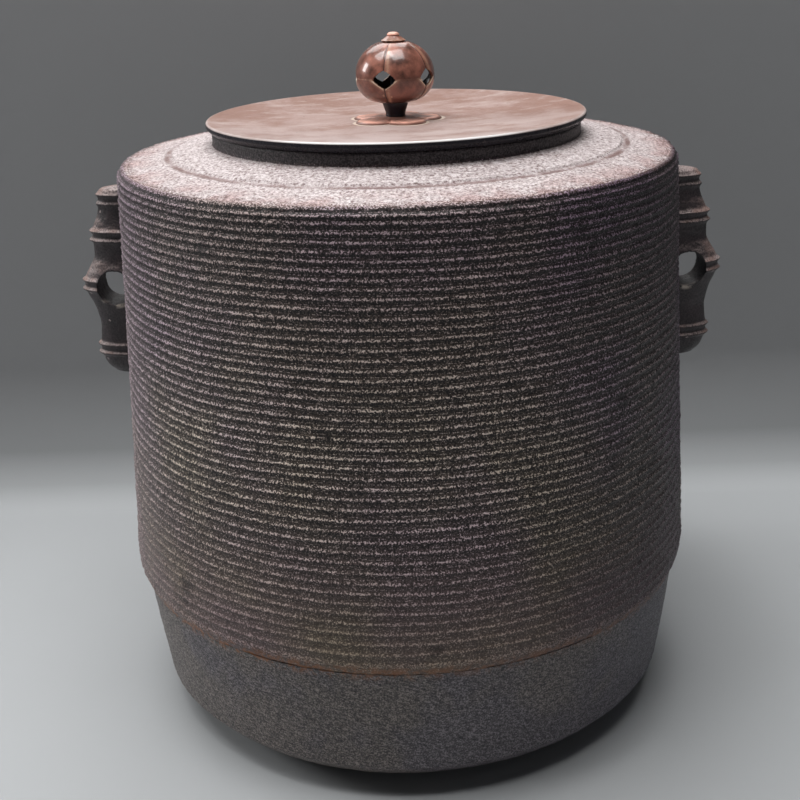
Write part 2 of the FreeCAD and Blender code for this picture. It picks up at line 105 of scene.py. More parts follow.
# Bamboo lugs: height above the middle node and reach from the wall, in millimetres
LUG_MIDDLE = 161.9 * MM
LUG_WIDTH_RATIO = 0.6
LUG_CULM = (
    (-36.2, 2.0), (-34.8, 6.6), (-32.6, 9.6), (-27.6, 11.6), (-23.0, 11.8), (-15.4, 11.2),
    (-8.0, 13.2), (-2.6, 16.2), (2.6, 16.2), (10.4, 11.8), (15.6, 12.4), (20.6, 12.4),
    (26.0, 10.0), (29.0, 9.6), (33.8, 9.6), (35.2, 8.6), (35.8, 6.0),
)
LUG_NODES = ((-25.2, 13.0), (0.0, 17.4), (18.2, 13.7), (31.4, 10.6))
LUG_ROWS, LUG_COLUMNS = 240, 80
NODE_RING_OFFSET = 1.7
NODE_RING_WIDTH = 0.75
EYE_RADIUS = 6.4 * MM
EYE_OUTSIDE_WALL = 3.6 * MM
EYE_HEIGHT = LUG_MIDDLE - 0.7 * MM
LUG_ROOT_DEPTH = 2.0 * MM

# Lid and knob
LID_RADIUS = 67.4 * MM
LID_EDGE_ROUND = 0.8 * MM
LID_BEVEL = 1.4 * MM
LID_CENTRE_FLAT = 18.0 * MM
LID_CENTRE_TOP = PETALS_LOW.z
LID_RING_RADIUS = 56.0 * MM
LID_RING_RISE = 1.4 * MM
LID_COLUMNS = 320
TAIL_HOLE_RADIUS = 2.85 * MM
PETAL_CIRCLE = 9.2 * MM
PETAL_RADIUS = 7.2 * MM
PETAL_TURN = math.radians(5.0)
PETAL_COLUMNS = 360
LOBES = 5
KNOB_TURN = math.radians(38.1)
KNOB_RADIUS = 14.2 * MM
KNOB_POLE_RADIUS = 5.2 * MM
KNOB_SHELL = 1.1 * MM
KNOB_EQUATOR = LOWER_SHELL_HIGH.z
KNOB_COLUMNS = 300
CORE_RADIUS = 1.5 * MM
STEM_COLUMNS = 120
STEM_HUB = 0.3 * MM
FLUTES = 10
BUTTON_COLUMNS = 64

# Studio
BACKDROP_BEND = 60 * MM


def size_setting(name, text, default, low=0.0, unit="LENGTH"):
    return bpy.props.FloatProperty(name=name, description=text, default=default, min=low, unit=unit)


def power_setting(name, text, default):
    return size_setting(name, text, default, unit="POWER")


def count_setting(name, text, default):
    return bpy.props.IntProperty(name=name, description=text, default=default, min=64)


def colour_setting(name, text, *default):
    return bpy.props.FloatVectorProperty(name=name, description=text, default=default, subtype="COLOR")


class WallSettings(bpy.types.PropertyGroup):
    line_height: size_setting("Line height", "How far the cast thread lines stand out of the wall", 0.55 * MM)
    line_width: size_setting("Line width", "Half width of a thread line's crest", 0.62 * MM, 0.1 * MM)
    line_waver: size_setting("Line waver", "How far a thread line wanders up and down", 0.32 * MM)
    grain_depth: size_setting("Grain depth", "Depth of the sand-cast grain", 0.075 * MM)
    columns: count_setting("Columns", "Faces around the wall", 880)
    row_step: size_setting("Row step", "Height of a row of faces on the wall", 0.42 * MM, 0.1 * MM)
    # Colour of the dark pits and of the painted shadow under the crests
    hollow_colour: colour_setting("Hollows", "Iron between the thread lines", 0.010, 0.0070, 0.0075)
    face_colour: colour_setting("Flanks", "Iron on the flanks of the thread lines", 0.078, 0.063, 0.055)
    # Colour of the painted glints on the crests, which also stand for rubbed iron
    crest_colour: colour_setting("Crests", "Worn iron on the crests of the thread lines", 0.86, 0.79, 0.75)
    rust_colour: colour_setting("Rust", "Rust along the seam", 0.30, 0.115, 0.042)


class BottomSettings(bpy.types.PropertyGroup):
    grain_depth: size_setting("Grain depth", "Depth of the bowl's rubbed grain", 0.07 * MM)
    columns: count_setting("Columns", "Faces around the bowl", 720)
    dark_colour: colour_setting("Pits", "Iron in the pits of the bowl", 0.016, 0.014, 0.016)
    pale_colour: colour_setting("Rubbed iron", "Rubbed iron between the pits", 0.245, 0.205, 0.188)


class LugSettings(bpy.types.PropertyGroup):
    voxel: size_setting("Casting detail", "Smallest form that the lug casting keeps", 0.4 * MM, 0.2 * MM)
    roughcast: size_setting(
        "Roughness of the casting", "Height of the uneven skin left by the mould", 0.16 * MM
    )
    dark_colour: colour_setting("Iron", "Dark iron of the lugs", 0.026, 0.018, 0.020)
    # This colour also lays the painted light on the lugs' upward faces
    worn_colour: colour_setting("Worn edges", "Handled iron on the rings and lips", 0.40, 0.315, 0.300)


class LidSettings(bpy.types.PropertyGroup):
    dent_depth: size_setting("Hammering", "Depth of the faint hammer marks", 0.05 * MM)
    copper_colour: colour_setting("Copper", "Browned copper of the lid", 0.38, 0.262, 0.232)
    stain_colour: colour_setting("Stains", "Darker patches of the patina", 0.28, 0.158, 0.124)
    rim_colour: colour_setting("Rim", "Blackened edge of the lid", 0.018, 0.017, 0.022)


class KnobSettings(bpy.types.PropertyGroup):
    crease_depth: size_setting("Crease depth", "Depth of the creases between the knob's lobes", 0.55 * MM)
    piercing_width: size_setting("Piercing width", "Width of the lozenge openings", 8.8 * MM, 1.0 * MM)
    piercing_height: size_setting("Piercing height", "Height of the lozenge openings", 6.3 * MM, 1.0 * MM)
    copper_colour: colour_setting("Copper", "Browned copper of the knob", 0.255, 0.098, 0.068)
    worn_colour: colour_setting("Worn copper", "Copper rubbed bright on the edges", 0.60, 0.36, 0.24)
    petal_colour: colour_setting("Petals", "Copper of the petals under the knob", 0.90, 0.47, 0.36)
    stem_colour: colour_setting("Stem", "Blackened bronze of the stem", 0.005, 0.006, 0.015)


class StageSettings(bpy.types.PropertyGroup):
    floor_colour: colour_setting("Floor", "Pale floor and the foot of the backdrop", 0.47, 0.485, 0.495)
    # The darker grey above the bend is painted shade
    backdrop_colour: colour_setting("Backdrop", "Grey of the backdrop above its bend", 0.278, 0.280, 0.285)
    back_light: power_setting("Back light", "Soft light above and behind the kettle", 4.0)
    left_light: power_setting("Left light", "Soft light on the left of the kettle", 14.0)
    top_light: power_setting("Top light", "Soft light over the floor", 8.2)
    key_light: power_setting("Key light", "Large soft light high on the left", 16.0)
    camera_place: bpy.props.FloatVectorProperty(
        name="Camera",
        description="Where the camera stands",
        default=(0.0, -0.43558, 0.27933),
        subtype="XYZ",
        unit="LENGTH",
    )
    camera_lens: bpy.props.FloatProperty(
        name="Lens",
        description="Focal length in millimetres on a 36 mm sensor",
        default=53.856,
        min=1.0,
    )
    camera_turn: bpy.props.FloatVectorProperty(
        name="Camera turn",
        description="Yaw, downward pitch and roll of the camera",
        default=(math.radians(-0.2722), math.radians(21.2134), math.radians(-2.0152)),
        subtype="EULER",
        unit="ROTATION",
    )


def straight(start, end, step):
    """Points about a step apart from start to just before end."""
    start, end = np.array(start, float), np.array(end, float)
    count = max(1, round(float(np.linalg.norm(end - start)) / step))
    return start + (end - start) * (np.arange(count) / count)[:, None]


def rounded(start, end, centre, step):
    """Points about a step apart on a circle from start to just before end, the short way."""
    centre = np.array(centre, float)
    first, last = np.array(start, float) - centre, np.array(end, float) - centre
    radius = float(np.linalg.norm(first))
    begin = math.atan2(first[1], first[0])
    sweep = (math.atan2(last[1], last[0]) - begin + math.pi) % TAU - math.pi
    count = max(1, round(abs(sweep) * radius / step))
    angles = begin + sweep * np.arange(count) / count
    return centre + radius * np.stack([np.cos(angles), np.sin(angles)], axis=1)


def outline(start, *legs, ended=False):
    """Points along legs of (end, step), or (end, step, centre) for an arc; ended adds the last end."""
    rows = []
    for end, step, *centre in legs:
        rows.append(rounded(start, end, centre[0], step) if centre else straight(start, end, step))
        start = end
    return np.vstack([*rows, [start]] if ended else rows)


def bulge_radius(rise, run):
    """Radius of the arc that leaves level and climbs rise over run."""
    return (rise ** 2 + run ** 2) / (2 * rise)


def soft_noise(shape, spacing, grain, seed, lean=0.0):
    """Random heights of unit spread on rows and columns, seamless, with grains of a (tall, wide) size.

    spacing is the distance between rows and between columns, and lean slants the grains by an angle.
    """
    raw = np.random.default_rng(seed).standard_normal(shape)
    rise = np.fft.fftfreq(shape[0], spacing[0])[:, None]
    run = np.fft.rfftfreq(shape[1], spacing[1])[None, :]
    along = rise * math.cos(lean) - run * math.sin(lean)
    across = rise * math.sin(lean) + run * math.cos(lean)
    keep = np.exp(-0.5 * ((math.pi * grain[0] * along) ** 2 + (math.pi * grain[1] * across) ** 2))
    field = np.fft.irfft2(np.fft.rfft2(raw) * keep, s=shape)
    return (field - field.mean()) / field.std()


def sinking(depth, heights, limit=1.5):
    """Heights of unit spread as depths below the surface, cut off at a limit."""
    return depth * (limit - np.clip(heights, -limit, limit))


def smooth_step(value, low, high):
    share = np.clip((value - low) / (high - low), 0.0, 1.0)
    return share * share * (3 - 2 * share)


def hump(value, middle, width):
    return np.exp(-(((value - middle) / width) ** 2))


def turns(columns):
    return np.arange(columns) * TAU / columns


def from_lobe(turn, first):
    """Angle from the nearest of the lobes, of which one stands at first."""
    return (turn - first + math.pi / LOBES) % (TAU / LOBES) - math.pi / LOBES


def around(radius, turn, height):
    return np.stack([radius * np.cos(turn), radius * np.sin(turn), height], axis=-1)


def turned_points(profile, columns, depth=None):
    """Points of a profile of (radius, height) turned about Z, sunk into the surface by depth."""
    profile = np.asarray(profile)
    radius = np.repeat(profile[:, :1], columns, axis=1)
    height = np.repeat(profile[:, 1:], columns, axis=1)
    if depth is not None:
        along = np.roll(profile, -1, axis=0) - np.roll(profile, 1, axis=0)
        along /= np.maximum(np.linalg.norm(along, axis=1, keepdims=True), 1e-12)
        radius = radius - along[:, 1:] * depth
        height = height + along[:, :1] * depth
    return around(radius, turns(columns), height)


def grid_mesh(name, points, closed):
    """Mesh of quads through rows of points that run round a ring; closed joins the last row to the first.

    An open grid gets a flat face in its first and in its last row.
    """
    rows, columns = points.shape[:2]
    row = np.arange(rows if closed else rows - 1)[:, None] * columns
    column = np.arange(columns)[None, :]
    above = (row + columns) % (rows * columns)
    beside = (column + 1) % columns
    corners = [row + column, row + beside, above + beside, above + column]
    quads = np.stack(corners, axis=-1).reshape(-1, 4)
    mesh = bpy.data.meshes.new(name)
    mesh.vertices.add(rows * columns)
    mesh.vertices.foreach_set("co", points.astype(np.float32).ravel())
    mesh.loops.add(quads.size)
    mesh.loops.foreach_set("vertex_index", quads.astype(np.int32).ravel())
    mesh.polygons.add(len(quads))
    mesh.polygons.foreach_set("loop_start", np.arange(0, quads.size, 4, dtype=np.int32))
    mesh.polygons.foreach_set("use_smooth", np.ones(len(quads), bool))
    mesh.update(calc_edges=True)
    mesh.validate()
    if not closed:
        shell = bmesh.new()
        shell.from_mesh(mesh)
        bmesh.ops.holes_fill(shell, edges=shell.edges[:], sides=0)
        bmesh.ops.recalc_face_normals(shell, faces=shell.faces[:])
        shell.to_mesh(mesh)
        shell.free()
    return mesh


def past_join(index, count):
    """Index of each face's corners, with count in place of 0 on faces across the join."""
    crosses = index.max(1, keepdims=True) - index.min(1, keepdims=True) > 1
    return np.where(crosses & (index == 0), count, index)


def unroll(mesh, profile, columns, plain_from=None):
    """Map for baking: the turn runs across it and the profile up it; rows past plain_from get little room."""
    plain_share = 0.2
    steps = np.linalg.norm(np.diff(np.vstack([profile, profile[:1]]), axis=0), axis=1)
    if plain_from is not None:
        steps[plain_from:] *= plain_share
    up = np.concatenate([[0.0], np.cumsum(steps)])
    up /= up[-1]
    corner = np.empty(len(mesh.loops), np.int32)
    mesh.loops.foreach_get("vertex_index", corner)
    corner = corner.reshape(-1, 4)
    row = past_join(corner // columns, len(profile))
    column = past_join(corner % columns, columns)
    places = np.stack([column / columns, up[row]], axis=-1)
    layer = mesh.uv_layers.new(name=BAKE_MAP)
    layer.data.foreach_set("uv", places.astype(np.float32).ravel())


def point_values(mesh, name, values):
    """Store one number per point for the finish to read, or one for each row of points."""
    values = np.ascontiguousarray(values, np.float32).ravel()
    layer = mesh.attributes.new(name, "FLOAT", "POINT")
    layer.data.foreach_set("value", np.repeat(values, len(mesh.vertices) // values.size))


def shade_smooth(mesh, degrees):
    """Smooth shading with creases where faces meet at more than an angle."""
    mesh.polygons.foreach_set("use_smooth", np.ones(len(mesh.polygons), bool))
    mesh.set_sharp_from_angle(angle=math.radians(degrees))


def in_scene(name, data):
    """Object of that name in the scene."""
    made = bpy.data.objects.new(name, data)
    bpy.context.scene.collection.objects.link(made)
    return made


def coat(mesh, material):
    mesh.materials.clear()
    mesh.materials.append(material)


def add_piece(name, mesh, body, slot, material, *nodes):
    """Put a mesh in the scene on a body of the frame, in place of the solids that it stands for."""
    piece = in_scene(name, mesh)
    coat(mesh, material)
    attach(piece, body)
    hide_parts(*nodes)


def cutter_from(name, shape):
    """Object to cut with, from a bmesh that is then freed."""
    mesh = bpy.data.meshes.new(name)
    shape.to_mesh(mesh)
    shape.free()
    return in_scene(name, mesh)


def bar(name, low_radius, high_radius, length, segments, place):
    """Round bar or cone to cut with."""
    shape = bmesh.new()
    sizes = {"radius1": low_radius, "radius2": high_radius, "depth": length}
    bmesh.ops.create_cone(shape, cap_ends=True, segments=segments, matrix=place, **sizes)
    return cutter_from(name, shape)


def carved(name, mesh, cutters, *modifiers):
    """A copy of the mesh with the cutters taken out of it, then modifiers of (kind, options) applied."""
    blank = in_scene(f"{name}_blank", mesh)
    cut = {"operation": "DIFFERENCE", "solver": "EXACT"}
    cuts = [("BOOLEAN", {**cut, "object": cutter}) for cutter in cutters]
    for kind, options in (*cuts, *modifiers):
        modifier = blank.modifiers.new(kind.title(), kind)
        for option, value in options.items():
            setattr(modifier, option, value)
    bpy.context.view_layer.update()
    made = bpy.data.meshes.new_from_object(blank.evaluated_get(bpy.context.evaluated_depsgraph_get()))
    made.name = name
    for helper in (blank, *cutters):
        bpy.data.objects.remove(helper)
    if not made.polygons:
        raise RuntimeError(f"{name} came out empty")
    return made


class Finish:
    """A material in the making, with its colour so far; lengths are in the piece's own metres."""

    def __init__(self, name):
        self.material = bpy.data.materials.new(name)
        self.material.use_nodes = True
        self.tree = self.material.node_tree
        self.shader = self.tree.nodes["Principled BSDF"]
        self.place = self.node("ShaderNodeTexCoord", "Object")
        self.across, self.along, self.height = self.parts(self.place)
        self.colour = None

    def node(self, kind, output, inputs=None, **options):
        """An output of a new node; each input is a constant or another node's output."""
        made = self.tree.nodes.new(kind)
        for option, value in options.items():
            setattr(made, option, value)
        for socket, value in (inputs or {}).items():
            self.feed(made.inputs[socket], value)
        return made.outputs[output]

    def feed(self, socket, value):
        if isinstance(value, bpy.types.NodeSocket):
            self.tree.links.new(value, socket)
        elif hasattr(value, "__len__") and socket.type == "RGBA":
            socket.default_value = (*value[:3], 1.0)
        else:
            socket.default_value = value

    def parts(self, vector):
        return self.node("ShaderNodeSeparateXYZ", "X", {0: vector}).node.outputs[:]

    def surface(self, name):
        """What the geometry says of the surface, such as its normal."""
        return self.node("ShaderNodeNewGeometry", name)

    def stored(self, name):
        """A number kept on the points of the mesh."""
        return self.node("ShaderNodeAttribute", "Fac", attribute_name=name)

    def stretched(self, lengths, turn):
        """The piece's coordinates, turned back and drawn out by lengths along the turned axes."""
        inputs = {"Vector": self.place, "Scale": lengths, "Rotation": turn}
        return self.node("ShaderNodeMapping", "Vector", inputs, vector_type="TEXTURE")

    def grain(self, size, detail=2.0, roughness=0.5, place=None):
        inputs = {"Vector": place or self.place, "Scale": 1.0 / size}
        return self.node("ShaderNodeTexNoise", 0, {**inputs, "Detail": detail, "Roughness": roughness})

    def cells(self, size):
        """Distance from the middle of scattered cells."""
        return self.node("ShaderNodeTexVoronoi", "Distance", {"Vector": self.place, "Scale": 1.0 / size})

    def share(self, value, low, high, first=0.0, last=1.0):
        """Value from low to high carried to first to last, held at both ends."""
        inputs = {"Value": value, "From Min": low, "From Max": high, "To Min": first, "To Max": last}
        return self.node("ShaderNodeMapRange", "Result", inputs, interpolation_type="SMOOTHSTEP")

    def band(self, value, low, full, fade, high):
        """1 where value lies from full to fade, down to 0 at low and high."""
        return self.times(self.share(value, low, full), self.share(value, fade, high, 1.0, 0.0))

    def maths(self, operation, first, second):
        return self.node("ShaderNodeMath", 0, {0: first, 1: second}, operation=operation)

    def plus(self, first, second):
        return self.maths("ADD", first, second)

    def times(self, product, *factors):
        for factor in factors:
            product = self.maths("MULTIPLY", product, factor)
        return product

    def blend(self, first, weight, second):
        """Mean of two values, of which the first has a weight."""
        return self.plus(self.times(first, weight), self.times(second, 1.0 - weight))

    def mixed(self, share, first, second, blend="MIX"):
        inputs = {0: share, 6: first, 7: second}
        return self.node("ShaderNodeMix", 2, inputs, data_type="RGBA", blend_type=blend)

    def ramp(self, value, *stops):
        """Colours along a value; each stop is (position, colour) or (position, colour, strength)."""
        made = self.node("ShaderNodeValToRGB", "Color", {"Fac": value})
        elements = made.node.color_ramp.elements
        while len(elements) < len(stops):
            elements.new(0.5)
        for element, (position, colour, *strength) in zip(elements, stops):
            element.position = position
            element.color = (*toned(colour, *strength), 1.0)
        return made

    def cover(self, share, colour):
        """Lay a colour over the finish by a share."""
        self.colour = self.mixed(share, self.colour, colour)

    def tint(self, share, colour):
        """Filter the finish through a colour by a share."""
        self.colour = self.mixed(share, self.colour, colour, "MULTIPLY")

    def bumped(self, height, depth, normal=None):
        """Surface pushed by a height from 0 to 1 that stands for a depth."""
        inputs = {"Height": height, "Distance": depth, "Strength": 1.0}
        if normal:
            inputs["Normal"] = normal
        return self.node("ShaderNodeBump", "Normal", inputs)

    def close(self, **values):
        """Give the shader its colour and what else it takes."""
        for socket, value in {"Base_Color": self.colour, **values}.items():
            self.feed(self.shader.inputs[socket.replace("_", " ")], value)


def toned(colour, strength=1.0):
    return [strength * part for part in colour[:3]]


def finish_of(maker, *settings):
    """The material named after its maker, made the first time it is asked for."""
    name = maker.__name__
    if name not in bpy.data.materials:
        maker(Finish(name), *settings)
    return bpy.data.materials[name]


def thread_line_casting(finish, settings):
    """Sand-cast iron with painted highlights above its thread lines and painted shadow below them, a pale
    shoulder that is partly painted sheen, painted sheen on the left edge, painted shade at the top, on the
    right and on the neck, and rust at the seam.
    """
    height, face = finish.height, settings.face_colour
    side, past_top = finish.stored("side"), finish.stored("past_top")
    granule = finish.grain(0.58 * MM, detail=2.0, roughness=0.6)
    dust = finish.grain(0.45 * MM, detail=1.0)
    blotch = finish.grain(11.0 * MM, detail=3.0, roughness=0.55)
    # Bands on each thread line: just above it, painted light on the upper flank; just under it, painted
    # shadow below the crest
    upper = finish.band(side, -0.55, 0.20, 0.40, 1.10)
    under = finish.band(side, -1.60, -0.75, -0.35, 0.05)
    finish.colour = finish.ramp(
        finish.blend(granule, 0.6, dust), (0.36, face, 0.45), (0.50, face), (0.64, face, 1.9)
    )
    finish.cover(finish.times(upper, 0.30), toned(face, 2.0))
    # Dark pits anywhere, and more of them under each crest as painted shadow
    pit = finish.maths("SUBTRACT", granule, finish.times(under, 0.12))
    finish.cover(finish.share(pit, 0.38, 0.45, 1.0, 0.0), settings.hollow_colour)

    # Painted glints: bright specks thickest along the thread lines and strewn low on the wall; they also
    # stand for rubbed pale grains on the crests
    stands = finish.times(upper, finish.share(height, SEAM_HEIGHT, SEAM_HEIGHT + 75.0 * MM, 0.085, 0.15))
    strewn = finish.share(height, SEAM_HEIGHT, SEAM_HEIGHT + 65.0 * MM, 0.045, 0.0)
    glint = finish.share(finish.plus(granule, finish.plus(stands, strewn)), 0.63, 0.71)
    low = finish.share(height, SEAM_HEIGHT, SEAM_HEIGHT + 90.0 * MM, 1.0, 0.0)
    finish.cover(glint, finish.mixed(low, settings.crest_colour, (0.58, 0.50, 0.43)))
    # Lighter and warmer towards the seam: partly the iron's own tone there, partly painted bounce light from
    # the floor
    warm_tone_and_bounce_light = finish.share(height, SEAM_HEIGHT + 4.0 * MM, SEAM_HEIGHT + 55.0 * MM, 0.42, 0.0)
    finish.cover(warm_tone_and_bounce_light, (0.20, 0.160, 0.130))
    finish.tint(finish.share(blotch, 0.63, 0.72, 0.0, 0.75), (0.30, 0.27, 0.29))
    patina = finish.grain(60.0 * MM, detail=3.0)
    finish.tint(1.0, finish.ramp(patina, (0.40, (1.0, 0.94, 0.82)), (0.60, (0.92, 0.80, 0.92))))
    # Painted shade: the wall darkens towards the top, away from the light bounced off the floor
    top_shade = finish.share(height, 95.0 * MM, WALL_TOP_HEIGHT)
    finish.tint(top_shade, (0.60, 0.54, 0.62))
    # Painted shade on the right side of the wall, away from the lights on the left
    right_side_shade = finish.share(finish.across, 15.0 * MM, 95.0 * MM)
    finish.tint(right_side_shade, (0.38, 0.36, 0.44))
    # Painted sheen: the wall's left edge is lightened where it catches the light from the left
    rubbed = finish.share(finish.across, -76.0 * MM, -104.0 * MM, 0.0, 0.32)
    finish.cover(rubbed, (0.32, 0.265, 0.275))

    pebble = finish.grain(1.15 * MM, detail=3.0, roughness=0.6)
    # The pale shoulder is partly a paler patina and partly painted sheen of the light from above
    pale = finish.ramp(
        finish.blend(pebble, 0.65, granule),
        (0.37, (0.17, 0.105, 0.098)),
        (0.47, (0.47, 0.390, 0.386)),
        (0.61, (0.82, 0.750, 0.750)),
    )
    ledge = finish.band(past_top, 19.5, 20.6, 21.2, 22.8)
    ledge = finish.times(ledge, finish.share(blotch, 0.30, 0.62, 0.25, 0.95))
    pale = finish.mixed(ledge, pale, (0.20, 0.115, 0.105))
    outer_band = finish.share(past_top, 8.0, 21.0, 0.75, 0.0)
    outer_band = finish.times(outer_band, finish.share(blotch, 0.36, 0.60))
    pale = finish.mixed(outer_band, pale, (0.78, 0.60, 0.58), "MULTIPLY")
    finish.cover(finish.share(past_top, 5.2, 6.4), pale)
    neck = finish.share(height, NECK_FOOT_HEIGHT - 0.1 * MM, NECK_FOOT_HEIGHT + 0.5 * MM)
    shaded = finish.ramp(granule, (0.40, (0.012, 0.010, 0.012)), (0.66, (0.085, 0.074, 0.078)))
    finish.cover(neck, shaded)
    edge = finish.band(past_top, 3.4, 5.6, 6.6, 10.0)
    edge = finish.times(edge, finish.share(granule, 0.42, 0.54, 0.95, 0.0))
    finish.cover(edge, (0.085, 0.030, 0.020))

    near_seam = finish.share(height, SEAM_HEIGHT + 1.0 * MM, SEAM_HEIGHT + 6.0 * MM, 1.0, 0.0)
    scatter = finish.share(finish.grain(4.0 * MM, detail=5.0, roughness=0.7), 0.44, 0.58)
    weathered = finish.share(finish.across, -70.0 * MM, 40.0 * MM, 1.0, 0.4)
    finish.cover(finish.times(near_seam, scatter, weathered), settings.rust_colour)
    finish.close(
        Roughness=finish.share(granule, 0.3, 0.7, 0.62, 0.40),
        Normal=finish.bumped(granule, 0.34 * MM),
        Specular_IOR_Level=0.45,
    )


def bowl_casting(finish, settings, rust_colour):
    """Rubbed iron with slanting streaks and painted shade on its right side, with rust at the seam."""
    slant = finish.stretched((2.2, 2.2, 0.9), (0.0, 0.35, 0.0))
    streak = finish.grain(0.9 * MM, detail=4.0, roughness=0.65, place=slant)
    speck = finish.grain(0.55 * MM, detail=3.0, roughness=0.6)
    pit = finish.share(finish.cells(1.6 * MM), 0.15, 0.55)
    finish.colour = finish.ramp(
        finish.blend(streak, 0.40, speck),
        (0.38, settings.dark_colour),
        (0.50, settings.pale_colour, 0.40),
        (0.60, settings.pale_colour, 1.25),
    )
    # Painted shade on the right side of the bowl, away from the lights on the left
    right_side_shade = finish.share(finish.across, 10.0 * MM, 95.0 * MM)
    finish.tint(right_side_shade, (0.66, 0.66, 0.74))
    bluish = finish.grain(34.0 * MM, detail=3.0)
    bluish = finish.plus(bluish, finish.share(finish.across, -20.0 * MM, 90.0 * MM, 0.0, 0.12))
    finish.tint(finish.share(bluish, 0.46, 0.62), (0.84, 0.87, 1.04))
    near_seam = finish.share(finish.height, SEAM_HEIGHT - 4.0 * MM, SEAM_HEIGHT)
    scatter = finish.share(finish.grain(3.0 * MM, detail=5.0, roughness=0.75), 0.47, 0.58)
    weathered = finish.share(finish.across, -70.0 * MM, 40.0 * MM, 1.0, 0.25)
    finish.cover(finish.times(near_seam, scatter, weathered), rust_colour)
    foot = finish.share(finish.height, 1.0 * MM, 12.0 * MM, 0.55, 0.0)
    finish.cover(foot, (0.030, 0.024, 0.024))
    pitted = finish.bumped(streak, 0.16 * MM, finish.bumped(pit, 0.08 * MM))
    finish.close(
        Roughness=finish.share(speck, 0.3, 0.7, 0.60, 0.42),
        Normal=finish.bumped(speck, 0.14 * MM, pitted),
        Specular_IOR_Level=0.6,
    )


def lug_casting(finish, settings):
    """Dark iron, lighter with painted light where it faces up and rubbed where it stands out, with painted
    shade inside the eye and a pale lip below it.
    """
    speck = finish.grain(0.6 * MM, detail=3.0, roughness=0.6)
    patch = finish.grain(7.0 * MM, detail=3.0)
    # Faces that point up are lightened as painted light from above; edges that stand out are rubbed
    lit = finish.share(finish.parts(finish.surface("Normal"))[2], 0.22, 0.66)
    wear_and_highlight = finish.maths("MAXIMUM", lit, finish.share(finish.surface("Pointiness"), 0.53, 0.60))
    finish.colour = finish.ramp(
        finish.blend(speck, 0.6, patch), (0.36, settings.dark_colour, 0.35), (0.64, settings.dark_colour, 1.9)
    )
    finish.cover(finish.times(wear_and_highlight, finish.share(speck, 0.34, 0.58, 0.15, 1.0)), settings.worn_colour)
    rusty = finish.times(lit, finish.share(patch, 0.46, 0.62, 0.0, 0.5))
    finish.cover(rusty, (0.22, 0.115, 0.085))

    eye_middle = WALL_TOP_RADIUS + EYE_OUTSIDE_WALL + 2.4 * MM
    aside = finish.node("ShaderNodeMath", 0, {0: finish.across}, operation="ABSOLUTE")
    aside = finish.maths("POWER", finish.maths("SUBTRACT", aside, eye_middle), 2.0)
    level = finish.maths("SUBTRACT", finish.height, EYE_HEIGHT)
    from_eye = finish.maths("POWER", finish.plus(aside, finish.maths("POWER", level, 2.0)), 0.5)
    # Painted shade inside the eye
    inside = finish.share(from_eye, EYE_RADIUS + 0.15 * MM, EYE_RADIUS + 0.6 * MM, 0.9, 0.0)
    finish.cover(inside, (0.010, 0.009, 0.012))
    lip = finish.times(
        finish.share(from_eye, EYE_RADIUS + 0.5 * MM, EYE_RADIUS + 1.8 * MM, 0.8, 0.0),
        finish.share(level, -3.8 * MM, -5.6 * MM),
        finish.share(finish.along, -4.0 * MM, -9.0 * MM),
        finish.share(finish.grain(4.0 * MM, detail=4.0), 0.44, 0.56),
    )
    finish.cover(lip, (0.56, 0.48, 0.40))
    finish.close(
        Roughness=finish.share(speck, 0.3, 0.7, 0.62, 0.46),
        Normal=finish.bumped(speck, 0.14 * MM),
        Specular_IOR_Level=0.5,
    )


def lid_patina(finish, settings):
    """Browned copper with painted sheen that pales it towards the front, paler round the petals, with a black
    rim and a painted highlight along the top corner.
    """
    cloud = finish.grain(26.0 * MM, detail=6.0, roughness=0.66)
    wiped = finish.stretched((2.8, 1.0, 1.0), (0.0, 0.0, 0.35))
    smear = finish.grain(6.0 * MM, detail=6.0, roughness=0.72, place=wiped)
    speck = finish.grain(0.9 * MM, detail=3.0, roughness=0.6)
    stained = finish.share(cloud, 0.40, 0.60)
    finish.colour = finish.mixed(stained, settings.copper_colour, settings.stain_colour)
    finish.cover(finish.share(smear, 0.50, 0.64, 0.0, 0.55), (0.50, 0.40, 0.37))
    finish.cover(finish.share(smear, 0.46, 0.32, 0.0, 0.45), (0.20, 0.092, 0.066))
    dot = finish.share(finish.cells(6.0 * MM), 0.03, 0.09, 0.6, 0.0)
    finish.cover(dot, (0.055, 0.030, 0.026))
    # Painted sheen: the lid pales towards the front
    front = finish.share(finish.along, 10.0 * MM, -64.0 * MM, 0.0, 0.62)
    front = finish.times(front, finish.share(cloud, 0.62, 0.44, 0.45, 1.0))
    finish.cover(front, (0.52, 0.435, 0.42))
    finish.cover(finish.share(finish.stored("halo"), 0.2, 0.9, 0.0, 0.8), (0.72, 0.60, 0.50))
    rim = finish.times(finish.stored("rim"), finish.share(speck, 0.25, 0.45, 0.85, 1.0))
    finish.cover(rim, settings.rim_colour)
    # Painted highlight along the lid's top corner, strongest at the front
    wear_and_highlight = finish.share(finish.along, -62.0 * MM, -50.0 * MM, 1.0, 0.22)
    finish.cover(finish.times(finish.stored("corner"), wear_and_highlight), (0.92, 0.90, 0.89))
    sheen = finish.share(finish.blend(smear, 0.6, speck), 0.38, 0.62, 0.46, 0.60)
    finish.close(
        Roughness=finish.maths("SUBTRACT", sheen, finish.times(rim, 0.24)),
        Normal=finish.bumped(speck, 0.02 * MM),
        Specular_IOR_Level=0.22,
    )


